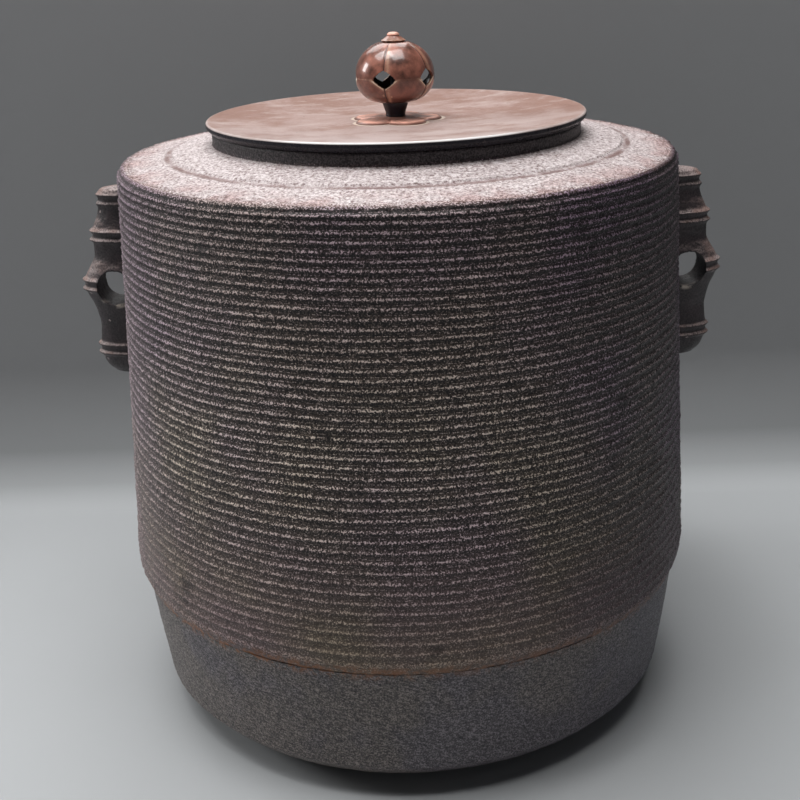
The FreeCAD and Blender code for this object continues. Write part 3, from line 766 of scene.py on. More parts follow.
def knob_patina(finish, settings):
    """Glossy browned copper, darker below as painted shade, with black creases, painted shade inside the
    shell and pale lips at the openings.
    """
    cloud = finish.grain(5.0 * MM, detail=4.0, roughness=0.6)
    speck = finish.grain(0.5 * MM, detail=3.0, roughness=0.6)
    copper, lip = settings.copper_colour, finish.stored("lip")
    finish.colour = finish.ramp(cloud, (0.34, copper, 0.42), (0.50, copper), (0.68, copper, 1.7))
    shaded = finish.share(finish.height, KNOB_EQUATOR + 1.0 * MM, KNOB_EQUATOR - 8.5 * MM, 0.0, 0.9)
    finish.tint(shaded, (0.34, 0.26, 0.30))
    # Black in the creases between the lobes, and painted shade on the inside of the shell
    finish.cover(finish.share(finish.stored("crease"), 0.45, 0.95, 0.0, 0.9), (0.020, 0.011, 0.009))
    finish.cover(finish.times(lip, finish.share(speck, 0.3, 0.55, 0.35, 0.8)), settings.worn_colour)
    finish.cover(finish.share(lip, 0.75, 1.15, 0.0, 0.9), (0.84, 0.70, 0.54))
    edges = finish.share(finish.surface("Pointiness"), 0.53, 0.60)
    finish.cover(finish.times(edges, finish.share(cloud, 0.40, 0.56, 0.1, 0.6)), settings.worn_colour)
    finish.close(
        Roughness=finish.share(cloud, 0.35, 0.65, 0.34, 0.48),
        Normal=finish.bumped(speck, 0.02 * MM, finish.bumped(cloud, 0.06 * MM)),
        Specular_IOR_Level=0.40,
        Metallic=0.08,
        Coat_Weight=0.9,
        Coat_Roughness=0.13,
    )


def petal_patina(finish, settings):
    """Bright copper with a dark brim of painted shade."""
    cloud = finish.grain(3.5 * MM, detail=4.0, roughness=0.6)
    speck = finish.grain(0.4 * MM, detail=2.0)
    copper = settings.petal_colour
    finish.colour = finish.ramp(cloud, (0.34, copper, 0.6), (0.66, copper, 1.15))
    # Painted shade at the petals' outer edge and underneath, where they meet the lid
    finish.cover(finish.share(finish.stored("brim"), 0.90, 0.97, 0.0, 0.85), (0.10, 0.040, 0.030))
    finish.close(
        Roughness=finish.share(cloud, 0.35, 0.65, 0.30, 0.45),
        Normal=finish.bumped(speck, 0.02 * MM),
        Specular_IOR_Level=0.5,
        Metallic=0.05,
    )


def stem_blackening(finish, settings):
    """Blackened bronze."""
    cloud = finish.grain(2.0 * MM, detail=4.0, roughness=0.6)
    speck = finish.grain(0.3 * MM, detail=2.0)
    bronze = settings.stem_colour
    finish.colour = finish.ramp(cloud, (0.35, bronze, 0.5), (0.70, bronze, 2.2))
    finish.close(
        Roughness=finish.share(cloud, 0.35, 0.65, 0.34, 0.55),
        Normal=finish.bumped(speck, 0.02 * MM),
        Specular_IOR_Level=0.5,
    )


def floor_paper(finish, settings):
    """Matt pale studio paper that darkens where it rises far away."""
    fibre = finish.grain(120 * MM, detail=5.0, roughness=0.6)
    paper = settings.floor_colour
    finish.colour = finish.ramp(fibre, (0.30, paper, 0.985), (0.70, paper, 1.01))
    finish.cover(finish.share(finish.height, 20 * MM, 400 * MM), settings.backdrop_colour)
    finish.close(Roughness=finish.share(fibre, 0.3, 0.7, 0.62, 0.70), Specular_IOR_Level=0.25)


def backdrop_paper(finish, settings):
    """Paper that darkens as it rises, which is painted shade, and is clear from behind."""
    paper = settings.floor_colour
    bend = finish.maths("DIVIDE", finish.height, BACKDROP_BEND)
    # The darkening with height is painted shade for the light falling off up the backdrop
    stops = ((0.0, paper), (0.09, paper, 0.70), (0.30, paper, 0.44), (1.0, settings.backdrop_colour))
    finish.colour = finish.ramp(bend, *stops)
    finish.close(Roughness=0.66, Specular_IOR_Level=0.25)
    clear = finish.node("ShaderNodeBsdfTransparent", 0)
    faces = {0: finish.surface("Backfacing"), 1: finish.shader.outputs[0], 2: clear}
    both = finish.node("ShaderNodeMixShader", 0, faces)
    finish.feed(finish.tree.nodes["Material Output"].inputs["Surface"], both)


def wall_profile(step):
    """Outline of the kettle body from its seam up, over and down inside, and its count of outer rows."""
    lip = (WALL_LIP_RADIUS, SEAM_HEIGHT)
    lip_bulge = bulge_radius(LIP_INSET, WALL_FOOT_HEIGHT - SEAM_HEIGHT)
    shoulder_radius = WALL_TOP_RADIUS - SHOULDER_ROUND
    neck = (NECK_RADIUS, NECK_FOOT_HEIGHT)
    inner_shoulder = (93.2 * MM, SHOULDER_HEIGHT - IRON_THICKNESS)
    inner_wall = (96.2 * MM, SHOULDER_HEIGHT - IRON_THICKNESS - 3.0 * MM)
    outer = outline(
        lip,
        ((WALL_FOOT_RADIUS, WALL_FOOT_HEIGHT), step, (WALL_FOOT_RADIUS - lip_bulge, WALL_FOOT_HEIGHT)),
        ((WALL_TOP_RADIUS, WALL_TOP_HEIGHT), step),
        ((shoulder_radius, SHOULDER_HEIGHT), step, (shoulder_radius, WALL_TOP_HEIGHT)),
        ((NECK_RADIUS + 15.1 * MM, SHOULDER_HEIGHT + 2.35 * MM), step),
        ((NECK_RADIUS + 14.5 * MM, SHOULDER_HEIGHT + 2.95 * MM), step),
        (neck, step),
    )
    inner = outline(
        neck,
        ((NECK_RADIUS, MOUTH_TOP), 1.0 * MM),
        ((MOUTH_RADIUS, MOUTH_TOP), 1.5 * MM),
        ((MOUTH_RADIUS, NECK_FOOT_HEIGHT - IRON_THICKNESS), 2.0 * MM),
        (inner_shoulder, 4.0 * MM),
        (inner_wall, 1.2 * MM, (inner_shoulder[0], inner_wall[1])),
        ((SPIGOT_RADIUS, SPIGOT_TOP), 7.0 * MM),
        ((SPIGOT_RADIUS, SEAM_HEIGHT), 3.0 * MM),
        (lip, 1.1 * MM),
    )
    return np.vstack([outer, inner]), len(outer)


def line_heights():
    """Numbers of the thread lines, from the one on the lip to the two on the round, and their heights."""
    numbers = np.arange(-1, LINE_COUNT + 2)
    share = numbers / (LINE_COUNT - 1)
    lowest = WALL_FOOT_HEIGHT + LINE_INSET
    highest = WALL_TOP_HEIGHT - LINE_INSET
    return numbers, lowest + (highest - lowest) * (share + LINE_TIGHTENING * share * (1 - share))


class KETTLE_OT_wall(bpy.types.Operator):
    """Cast the wall with its thread lines, the shoulder and the mouth"""

    bl_idname = "kettle.wall"
    bl_label = "Thread-line wall"

    def execute(self, context):
        settings = context.scene.kettle_wall
        columns = settings.columns
        profile, outer = wall_profile(settings.row_step)
        shape = (outer, columns)
        spacing = (settings.row_step, TAU * WALL_FOOT_RADIUS / columns)
        level = profile[:outer, 1]
        steps = np.linalg.norm(np.diff(profile[:outer], axis=0, prepend=profile[:1]), axis=1)
        climb = np.cumsum(steps) - steps[level < WALL_TOP_HEIGHT].sum()
        height = (np.minimum(level, WALL_TOP_HEIGHT) + np.maximum(climb, 0.0))[:, None]

        numbers, heights = line_heights()
        waver = soft_noise(shape, spacing, (16 * MM, 34 * MM), seed=11) * settings.line_waver
        beads = soft_noise(shape, spacing, (1.1 * MM, 1.5 * MM), seed=12)
        patches = soft_noise(shape, spacing, (9 * MM, 14 * MM), seed=13)
        grain = soft_noise(shape, spacing, (1.0 * MM, 1.2 * MM), seed=14)
        swell = soft_noise(shape, spacing, (14 * MM, 30 * MM), seed=15)
        phase = np.interp(height + waver, heights, numbers)
        offset = (phase - np.round(phase)) * np.interp(height, heights, np.gradient(heights))
        starts = smooth_step(height, heights[0] - 2.2 * MM, heights[0] - 0.8 * MM)
        lined = starts * (1 - smooth_step(height, heights[-1] + 0.6 * MM, heights[-1] + 1.6 * MM))
        broken = np.clip(0.80 + 0.22 * beads + 0.06 * patches, 0.25, 1.0)
        line = hump(offset, 0.0, settings.line_width) * broken * lined
        sunk = settings.line_height * (1 - line) * np.maximum(starts, 0.35)
        sunk += sinking(settings.grain_depth, grain)
        sunk += sinking(0.10 * MM, swell)

        depth = np.zeros((len(profile), columns))
        depth[:outer] = np.maximum(sunk, 0.0)
        side = np.full_like(depth, OFF_LINES)
        side[:outer] = np.where(lined > 0.2, offset / MM, OFF_LINES)
        past_top = np.full(len(profile), INSIDE)
        past_top[:outer] = climb / MM
        mesh = grid_mesh("kettle_wall", turned_points(profile, columns, depth), closed=True)
        point_values(mesh, "side", side)
        point_values(mesh, "past_top", past_top)
        unroll(mesh, profile, columns, outer)
        iron = finish_of(thread_line_casting, settings)
        add_piece("kettle_wall", mesh, "kettle", "thread_line_iron", iron, "kettle_body")
        return {"FINISHED"}


def bottom_profile(step):
    """Outline of the bowl from its base up the outside and down inside, and its count of outer rows."""
    inset = BOWL_SIDE_RADIUS - BASE_RADIUS
    outer_bulge = bulge_radius(BOWL_CORNER_HEIGHT, inset)
    inner_bulge = bulge_radius(BOWL_CORNER_HEIGHT - IRON_THICKNESS, inset - IRON_THICKNESS)
    seam = (BOWL_SEAM_RADIUS, SEAM_HEIGHT)
    outer = outline(
        (BASE_HUB, 0.0),
        ((BASE_RADIUS, 0.0), 9 * MM),
        ((BOWL_SIDE_RADIUS, BOWL_CORNER_HEIGHT), step, (BASE_RADIUS, outer_bulge)),
        (seam, step),
    )
    inner = outline(
        seam,
        ((SPIGOT_RADIUS, SEAM_HEIGHT), 1.2 * MM),
        ((SPIGOT_RADIUS, SPIGOT_TOP), 3.0 * MM),
        ((SPIGOT_RADIUS - IRON_THICKNESS, SPIGOT_TOP), 1.8 * MM),
        ((BOWL_SIDE_RADIUS - IRON_THICKNESS, BOWL_CORNER_HEIGHT), 5.0 * MM),
        ((BASE_RADIUS, IRON_THICKNESS), 2.5 * MM, (BASE_RADIUS, IRON_THICKNESS + inner_bulge)),
        ((BASE_HUB, IRON_THICKNESS), 9 * MM),
        ended=True,
    )
    return np.vstack([outer, inner]), len(outer)


class KETTLE_OT_bottom(bpy.types.Operator):
    """Cast the bottom bowl with its rubbed grain"""

    bl_idname = "kettle.bottom"
    bl_label = "Bottom bowl"

    def execute(self, context):
        settings = context.scene.kettle_bottom
        columns = settings.columns
        profile, outer = bottom_profile(BOWL_ROW_STEP)
        shape = (outer, columns)
        spacing = (BOWL_ROW_STEP, TAU * BOWL_SEAM_RADIUS / columns)
        rubbed = soft_noise(shape, spacing, (1.2 * MM, 3.2 * MM), seed=21, lean=math.radians(-38))
        grain = soft_noise(shape, spacing, (1.2 * MM, 1.4 * MM), seed=22)
        swell = soft_noise(shape, spacing, (16 * MM, 30 * MM), seed=23)
        sunk = sinking(settings.grain_depth, 0.7 * rubbed + 0.5 * grain, limit=1.6)
        sunk += sinking(0.12 * MM, swell)
        depth = np.zeros((len(profile), columns))
        depth[:outer] = sunk * smooth_step(profile[:outer, :1], BASE_RADIUS, BASE_RADIUS + 3 * MM)
        mesh = grid_mesh("kettle_bowl", turned_points(profile, columns, depth), closed=False)
        iron = finish_of(bowl_casting, settings, context.scene.kettle_wall.rust_colour)
        add_piece("kettle_bowl", mesh, "kettle", "bottom_iron", iron, "kettle_bottom")
        return {"FINISHED"}


def wall_radius(height):
    """Outer radius of the tapering wall at a height."""
    share = (height - WALL_FOOT_HEIGHT) / (WALL_TOP_HEIGHT - WALL_FOOT_HEIGHT)
    return WALL_FOOT_RADIUS + (WALL_TOP_RADIUS - WALL_FOOT_RADIUS) * share


def lug_reaches():
    """Heights above the middle node and reaches from the wall, in millimetres, with rounded double rings."""
    passes, window, kept_ends = 3, 9, 6
    culm = np.array(LUG_CULM)
    heights = np.linspace(culm[0, 0], culm[-1, 0], LUG_ROWS)
    reaches = np.interp(heights, culm[:, 0], culm[:, 1])
    for _ in range(passes):
        padded = np.pad(reaches, window // 2, mode="edge")
        softer = np.convolve(padded, np.ones(window) / window, mode="valid")
        reaches[kept_ends:-kept_ends] = softer[kept_ends:-kept_ends]
    for node, crown in LUG_NODES:
        for ring in (node - NODE_RING_OFFSET, node + NODE_RING_OFFSET):
            stand = crown - np.interp(ring, heights, reaches)
            reaches = reaches + stand * hump(heights, ring, NODE_RING_WIDTH)
    return heights, reaches


def lug_blank(name, side):
    """Bamboo culm of the lug, standing half in the wall."""
    heights, reaches = lug_reaches()
    turn = turns(LUG_COLUMNS)
    height = (LUG_MIDDLE + heights * MM)[:, None] + np.zeros_like(turn)
    reach = (reaches * MM)[:, None]
    x = side * (wall_radius(height) + reach * np.cos(turn))
    y = side * LUG_WIDTH_RATIO * reach * np.sin(turn)
    return grid_mesh(name, np.stack([x, y, height], axis=-1), closed=False)


def eye_bar(name, side):
    """Round bar along Y that opens the lug's eye."""
    place = Matrix.Translation((side * (wall_radius(EYE_HEIGHT) + EYE_OUTSIDE_WALL), 0.0, EYE_HEIGHT))
    place = place @ Matrix.Rotation(math.radians(90), 4, "X")
    return bar(name, EYE_RADIUS, EYE_RADIUS, length=60 * MM, segments=72, place=place)


def wall_core(name):
    """Cone that stands inside the wall's iron, to end the lugs there."""
    length = 90 * MM
    low, high = (wall_radius(LUG_MIDDLE + way * length / 2) - LUG_ROOT_DEPTH for way in (-1, 1))
    return bar(name, low, high, length, segments=288, place=Matrix.Translation((0.0, 0.0, LUG_MIDDLE)))


def roughcast(mesh, depth, size, seed):
    """Sink the points into the surface by an uneven amount."""
    shift = Vector((seed * 1.7, seed * 3.1, seed * 0.9))
    normals = [vertex.normal.copy() for vertex in mesh.vertices]
    for vertex, normal in zip(mesh.vertices, normals):
        coarse = noise.noise(vertex.co / size + shift)
        fine = noise.noise(vertex.co / (size * 0.3) + shift)
        vertex.co -= normal * depth * (0.9 + 0.7 * coarse + 0.35 * fine)
    mesh.update()


class KETTLE_OT_lugs(bpy.types.Operator):
    """Cast the two bamboo lugs that carry the lifting rings"""

    bl_idname = "kettle.lugs"
    bl_label = "Bamboo lugs"

    def execute(self, context):
        settings = context.scene.kettle_lugs
        iron = finish_of(lug_casting, settings)
        for label, side in (("left", -1), ("right", 1)):
            name = f"bamboo_lug_{label}"
            cutters = (eye_bar(f"{label}_eye_bar", side), wall_core(f"{label}_wall_core"))
            mesh = carved(
                name,
                lug_blank(name, side),
                cutters,
                ("REMESH", {"mode": "VOXEL", "voxel_size": settings.voxel, "use_smooth_shade": True}),
                ("SMOOTH", {"factor": 0.5, "iterations": 2}),
            )
            roughcast(mesh, settings.roughcast, 2.4 * MM, seed=5 + side)
            add_piece(name, mesh, "kettle", "lug_iron", iron, f"lug_{label}")
        return {"FINISHED"}


def lid_profile():
    """Outline of the lid plate round its section, from the middle of its underside outward."""
    low, top, centre_top = LID_LOW.z, LID_HIGH.z, LID_CENTRE_TOP
    under = low + LID_RING_RISE
    edge = LID_RADIUS - LID_EDGE_ROUND
    dish = bulge_radius(top - centre_top, edge - LID_CENTRE_FLAT)
    under_dish = bulge_radius(under - low, LID_RING_RADIUS - LID_CENTRE_FLAT)
    return outline(
        (TAIL_HOLE_RADIUS, low),
        ((LID_CENTRE_FLAT, low), 3 * MM),
        ((LID_RING_RADIUS, under), 3 * MM, (LID_CENTRE_FLAT, low + under_dish)),
        ((LID_RADIUS - LID_BEVEL, under), 2.5 * MM),
        ((LID_RADIUS, under + LID_BEVEL), 0.35 * MM),
        ((LID_RADIUS, top - LID_EDGE_ROUND), 0.3 * MM),
        ((edge, top), 0.16 * MM, (edge, top - LID_EDGE_ROUND)),
        ((LID_CENTRE_FLAT, centre_top), 0.5 * MM, (LID_CENTRE_FLAT, centre_top + dish)),
        ((TAIL_HOLE_RADIUS, centre_top), 0.5 * MM),
        ended=True,
    )


class KETTLE_OT_lid(bpy.types.Operator):
    """Beat the dished copper lid"""

    bl_idname = "kettle.lid"
    bl_label = "Copper lid"

    def execute(self, context):
        settings = context.scene.kettle_lid
        profile = lid_profile()
        radius, height = profile[:, :1], profile[:, 1:]
        shape = (len(profile), LID_COLUMNS)
        spacing = (0.8 * MM, TAU * 40 * MM / LID_COLUMNS)
        dents = soft_noise(shape, spacing, (12 * MM, 12 * MM), seed=31)
        top_side = smooth_step(height, LID_HIGH.z - 2.7 * MM, LID_HIGH.z - 2.4 * MM)
        inside_rim = 1 - smooth_step(radius, LID_RADIUS - 5 * MM, LID_RADIUS - 1 * MM)
        depth = sinking(settings.dent_depth, dents) * top_side * inside_rim
        mesh = grid_mesh("copper_lid", turned_points(profile, LID_COLUMNS, depth), closed=True)

        below_edge = 1 - smooth_step(height, LID_HIGH.z - 0.60 * MM, LID_HIGH.z - 0.30 * MM)
        rim = below_edge * smooth_step(radius, LID_RADIUS - 3 * MM, LID_RADIUS - 2 * MM)
        # Where the painted highlight runs: the round of the lid's top corner
        corner = (1 - below_edge) * smooth_step(radius, LID_RADIUS - 0.90 * MM, LID_RADIUS - 0.55 * MM)
        past_petals = radius - petal_edge(turns(LID_COLUMNS))
        halo = hump(past_petals, 0.5 * MM, 0.9 * MM) * (height > LID_CENTRE_TOP - 0.1 * MM)
        for name, values in (("rim", rim), ("corner", corner), ("halo", halo)):
            point_values(mesh, name, values)
        unroll(mesh, profile, LID_COLUMNS)
        copper = finish_of(lid_patina, settings)
        add_piece("copper_lid", mesh, "lid", "lid_copper", copper, "lid_plate")
        coat(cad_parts["lid_locating_ring"].data, copper)
        return {"FINISHED"}


def petal_edge(turn):
    """Distance from the axis to the outline of the five petals."""
    apart = from_lobe(turn, PETAL_TURN)
    return PETAL_CIRCLE * np.cos(apart) + np.sqrt(PETAL_RADIUS ** 2 - (PETAL_CIRCLE * np.sin(apart)) ** 2)


class KETTLE_OT_petals(bpy.types.Operator):
    """Shape the flower of five petals that the knob stands on"""

    bl_idname = "kettle.petals"
    bl_label = "Knob seat petals"

    def execute(self, context):
        rows, under_every = 26, 5
        turn = turns(PETAL_COLUMNS)
        outward = np.linspace(0.0, 1.0, rows)[:, None]
        dome = 0.45 * MM * outward ** 2 + 0.5 * MM * smooth_step(outward, 0.86, 1.0) ** 2
        between = hump(np.abs(from_lobe(turn, PETAL_TURN)), math.pi / LOBES, 0.07)
        top = PETALS_HIGH.z - dome - 0.35 * MM * between * smooth_step(outward, 0.3, 0.8)
        reach = TAIL_HOLE_RADIUS + (petal_edge(turn) - TAIL_HOLE_RADIUS) * outward
        under = slice(None, None, under_every)
        radius = np.vstack([reach[under][::-1], reach])
        height = np.vstack([np.full_like(top[under], PETALS_LOW.z), top])
        mesh = grid_mesh("seat_petals", around(radius, turn, height), closed=True)
        # Brim is 1 under the petals and towards 1 at their outer edge, where the finish paints shade
        point_values(mesh, "brim", np.vstack([np.ones_like(outward[under]), outward]))
        shade_smooth(mesh, 40)
        copper = finish_of(petal_patina, context.scene.kettle_knob)
        add_piece("seat_petals", mesh, "lid", "petal_copper", copper, "knob_seat_petals")
        return {"FINISHED"}


def shell_outline(pole_height, thick):
    """Radius and height of a knob shell at a depth under its outside, from the equator to the pole."""
    arc_rows, flat_rows = 44, 8
    rise = pole_height - KNOB_EQUATOR
    radius = KNOB_RADIUS - thick
    run, height = radius - KNOB_POLE_RADIUS, abs(rise) - thick
    bulge = bulge_radius(run, height)
    angles = np.linspace(0.0, math.asin(min(height / bulge, 1.0)), arc_rows)
    flat = np.linspace(KNOB_POLE_RADIUS, CORE_RADIUS, flat_rows)[1:]
    radii = np.concatenate([radius - bulge + bulge * np.cos(angles), flat])
    heights = bulge * np.sin(angles)
    heights = np.concatenate([heights, np.full_like(flat, heights[-1])])
    return radii, KNOB_EQUATOR + heights * math.copysign(1.0, rise)


def lozenge_bars(width, height):
    """Five lozenge bars with bowed sides that pierce the knob's equator."""
    bow = 0.16
    tips = ((-width / 2, 0.0), (0.0, -height / 2), (width / 2, 0.0), (0.0, height / 2))
    corners = []
    for start, end in zip(tips, (*tips[1:], tips[0])):
        for share in (0.0, 0.25, 0.5, 0.75):
            swell = 1 + bow * math.sin(math.pi * share)
            corners.append([(first + (last - first) * share) * swell for first, last in zip(start, end)])
    shape = bmesh.new()
    for number in range(LOBES):
        spin = Matrix.Rotation(KNOB_TURN + number * TAU / LOBES, 4, "Z")
        near, far = (
            [shape.verts.new(spin @ Vector((reach, y * spread, KNOB_EQUATOR + z))) for y, z in corners]
            for reach, spread in ((2.5 * MM, 0.4), (KNOB_RADIUS * 1.4, 1.25))
        )
        shape.faces.new(near[::-1])
        shape.faces.new(far)
        for index in (*range(1, len(corners)), 0):
            shape.faces.new((near[index - 1], near[index], far[index], far[index - 1]))
    bmesh.ops.recalc_face_normals(shape, faces=shape.faces[:])
    return cutter_from("lozenge_bars", shape)


def lapped(apart, before, after):
    """Ridge at 0 that falls off over before on one side and over after on the other."""
    return np.where(apart < 0, hump(apart, 0.0, before), hump(apart, 0.0, after))


class KETTLE_OT_knob(bpy.types.Operator):
    """Raise the two pierced half shells of the knob"""

    bl_idname = "kettle.knob"
    bl_label = "Pierced knob"

    def execute(self, context):
        settings = context.scene.kettle_knob
        width, height = settings.piercing_width, settings.piercing_height
        copper = finish_of(knob_patina, settings)
        turn = turns(KNOB_COLUMNS)
        apart = from_lobe(turn, KNOB_TURN)
        groove = 0.8 * lapped(apart, 0.035, 0.016) + 0.6 * hump(apart, 0.0, 0.26)
        for label, pole in (("lower", LOWER_SHELL_LOW.z), ("upper", UPPER_SHELL_HIGH.z)):
            name = f"knob_shell_{label}"
            outer, outer_level = shell_outline(pole, 0.0)
            inner, inner_level = shell_outline(pole, KNOB_SHELL)
            bulge = smooth_step(outer, CORE_RADIUS, KNOB_RADIUS * 0.75)[:, None]
            inner = np.repeat(inner[::-1, None], KNOB_COLUMNS, axis=1)
            radius = np.vstack([outer[:, None] - settings.crease_depth * groove * bulge, inner])
            level = np.concatenate([outer_level, inner_level[::-1]])[:, None] + np.zeros(KNOB_COLUMNS)
            points = around(radius, turn, level)
            blank = grid_mesh(f"{name}_blank", points[::-1] if label == "lower" else points, closed=True)
            mesh = carved(name, blank, [lozenge_bars(width, height)])

            place = np.empty(len(mesh.vertices) * 3, np.float32)
            mesh.vertices.foreach_get("co", place)
            x, y, z = place.reshape(-1, 3).T
            reach = np.hypot(x, y)
            off = from_lobe(np.arctan2(y, x), KNOB_TURN)
            order = np.argsort(outer_level)
            within = np.interp(z, outer_level[order], outer[order]) - reach
            # Crease covers the creases between the lobes and the inner surface of the shell, where the finish
            # paints shade
            crease = np.maximum(lapped(off, 0.030, 0.018), smooth_step(within, 0.5 * MM, 0.9 * MM))
            below = KNOB_EQUATOR - z
            round_hole = 2 * np.abs(reach * np.sin(off)) / width
            round_hole += 2 * np.abs(below) / height
            rolled = hump(round_hole, 1.10, 0.20) * smooth_step(below, -0.4 * MM, 0.6 * MM)
            wear_and_highlight = 0.7 * hump(off, 0.10, 0.055)
            point_values(mesh, "crease", crease)
            point_values(mesh, "lip", np.maximum(1.3 * rolled, wear_and_highlight) * (within < 0.6 * MM))
            shade_smooth(mesh, 35)
            add_piece(name, mesh, "knob", "knob_copper", copper, f"knob_{label}_shell")
        return {"FINISHED"}


def stem_profile():
    """Outline of the stem from its peened head under the lid, through the flare, to the top of its core."""
    low, foot, top = SPINDLE_LOW.z, PETALS_HIGH.z + 0.15 * MM, LOWER_SHELL_LOW.z
    head, head_rise, tail = 4.4 * MM, 1.4 * MM, 2.8 * MM
    rise = np.linspace(0.0, 1.0, 14)
    flare = 3.45 * MM + (4.6 - 3.45) * MM * smooth_step(rise, 0.1, 1.0)
    return np.vstack([
        outline(
            (STEM_HUB, low),
            ((head, low + head_rise), 0.5 * MM, (0.0, low + bulge_radius(head_rise, head))),
            ((tail, low + head_rise), 0.5 * MM),
            ((tail, foot), 0.8 * MM),
            ((flare[0], foot), 0.3 * MM),
        ),
        np.stack([flare, foot + (top - foot) * rise], axis=1),
        outline(
            (flare[-1], top),
            ((CORE_RADIUS, top), 0.8 * MM),
            ((CORE_RADIUS, SPINDLE_HIGH.z), 2.0 * MM),
            ((STEM_HUB, SPINDLE_HIGH.z), 2.0 * MM),
            ended=True,
        ),
    ])


def cone_mesh(name):
    """Fluted cone on the knob, undercut at its foot."""
    low, high = WASHER_LOW.z, WASHER_HIGH.z
    foot = 0.2
    turn = turns(STEM_COLUMNS)
    share = np.linspace(0.0, 1.0, 14)[:, None]
    slope = 4.6 * MM - 2.75 * MM * np.maximum(share - foot, 0.0) ** 0.9
    cone = np.where(share < foot, 3.8 * MM + 4.0 * MM * share, slope)
    flute = 0.30 * MM * (0.5 + 0.5 * np.cos(FLUTES * turn)) * (1 - share)
    core = np.full((1, STEM_COLUMNS), CORE_RADIUS)
    lift = low + (high - low) * (0.12 + 0.88 * share.ravel())
    height = np.concatenate([[low], lift, [high]])[:, None] + np.zeros(STEM_COLUMNS)
    height[1] = low
    mesh = grid_mesh(name, around(np.vstack([core, cone - flute, core]), turn, height), closed=True)
    point_values(mesh, "crease", 0.0)
    point_values(mesh, "lip", np.concatenate([[0.0], 0.6 * (1 - share.ravel()), [0.0]]))
    shade_smooth(mesh, 50)
    return mesh


def button_profile():
    """Outline of the rivet head on the cone."""
    low, high = BUTTON_LOW.z, BUTTON_HIGH.z
    bead = np.linspace(0.0, math.pi / 2, 16)[:-1]
    return np.vstack([
        [(STEM_HUB, low), (1.9 * MM, low), (2.15 * MM, low + 0.15 * MM)],
        np.stack([2.2 * MM * np.cos(bead) ** 0.8, low + (high - low) * (0.25 + 0.75 * np.sin(bead))], axis=1),
        [(0.12 * MM, high)],
    ])


class KETTLE_OT_stem(bpy.types.Operator):
    """Turn the stem, the fluted washer and the button that hold the knob"""

    bl_idname = "kettle.stem"
    bl_label = "Knob stem and finial"

    def execute(self, context):
        settings = context.scene.kettle_knob
        bronze = finish_of(stem_blackening, settings)
        stem = grid_mesh("knob_stem", turned_points(stem_profile(), STEM_COLUMNS), closed=False)
        shade_smooth(stem, 35)
        add_piece("knob_stem", stem, "knob", "stem_bronze", bronze, "knob_spindle")
        coat(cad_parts["lid_rivet_washer"].data, bronze)
        copper = finish_of(knob_patina, settings)
        add_piece("finial_cone", cone_mesh("finial_cone"), "knob", "knob_copper", copper, "finial_washer")
        button = grid_mesh("finial_button_top", turned_points(button_profile(), BUTTON_COLUMNS), closed=False)
        petals = finish_of(petal_patina, settings)
        add_piece("finial_button_top", button, "knob", "petal_copper", petals, "finial_button")
        return {"FINISHED"}


class KETTLE_OT_irons(bpy.types.Operator):
    """Finish the singing irons inside on the floor of the bowl"""

    bl_idname = "kettle.irons"
    bl_label = "Singing irons"

    def execute(self, context):
        scene = context.scene
        iron = finish_of(bowl_casting, scene.kettle_bottom, scene.kettle_wall.rust_colour)
        coat(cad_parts["singing_irons"].data, iron)
        return {"FINISHED"}


def sheet_mesh(name, points, columns, ring):
    """Sheet through rows of points; a ring is joined, faces inward and is filled in its first row."""
    faces = []
    for row in range(0, len(points) - columns, columns):
        for column in range(columns if ring else columns - 1):
            here, beside = row + column, row + (column + 1) % columns
            if ring:
                here, beside = beside, here
            faces.append((here, beside, beside + columns, here + columns))
    if ring:
        faces.append(tuple(range(columns)))
    mesh = bpy.data.meshes.new(name)
    mesh.from_pydata(points, [], faces)
    mesh.polygons.foreach_set("use_smooth", np.ones(len(faces), bool))
    return mesh


def studio_floor(name):
    """Round floor that curves up far away."""
    flat, bend, top, columns = 1.9, 0.7, 2.2, 128
    wall = flat + bend
    rise = ((wall, bend), 0.08, (flat, bend))
    profile = outline((0.02, 0.0), ((flat, 0.0), 0.1), rise, ((wall, top), 0.3), ended=True)
    points = turned_points(profile, columns).reshape(-1, 3).tolist()
    return sheet_mesh(name, points, columns, ring=True)


def backdrop_sweep(name):
    """Paper that rises close behind the kettle."""
    begin, bend, top, half_width = 0.135, BACKDROP_BEND, 0.275, 0.85
    profile = outline(
        (begin - 0.01, -0.0006),
        ((begin, 0.0), 0.01),
        ((begin + bend, bend), 0.004, (begin, bend)),
        ((begin + bend, top), 0.05),
        ended=True,
    )
    across = np.linspace(-half_width, half_width, 24)
    points = [(x, y, z) for y, z in profile for x in across]
    return sheet_mesh(name, points, len(across), ring=False)


def soft_light(name, place, aim, size, power):
    lamp = bpy.data.lights.new(name, "AREA")
    lamp.shape = "RECTANGLE"
    lamp.size, lamp.size_y = size
    lamp.energy = power
    holder = in_scene(name, lamp)
    holder.location = place
    holder.rotation_mode = "QUATERNION"
    holder.rotation_quaternion = (Vector(aim) - Vector(place)).to_track_quat("-Z", "Y")
    holder.visible_camera = False


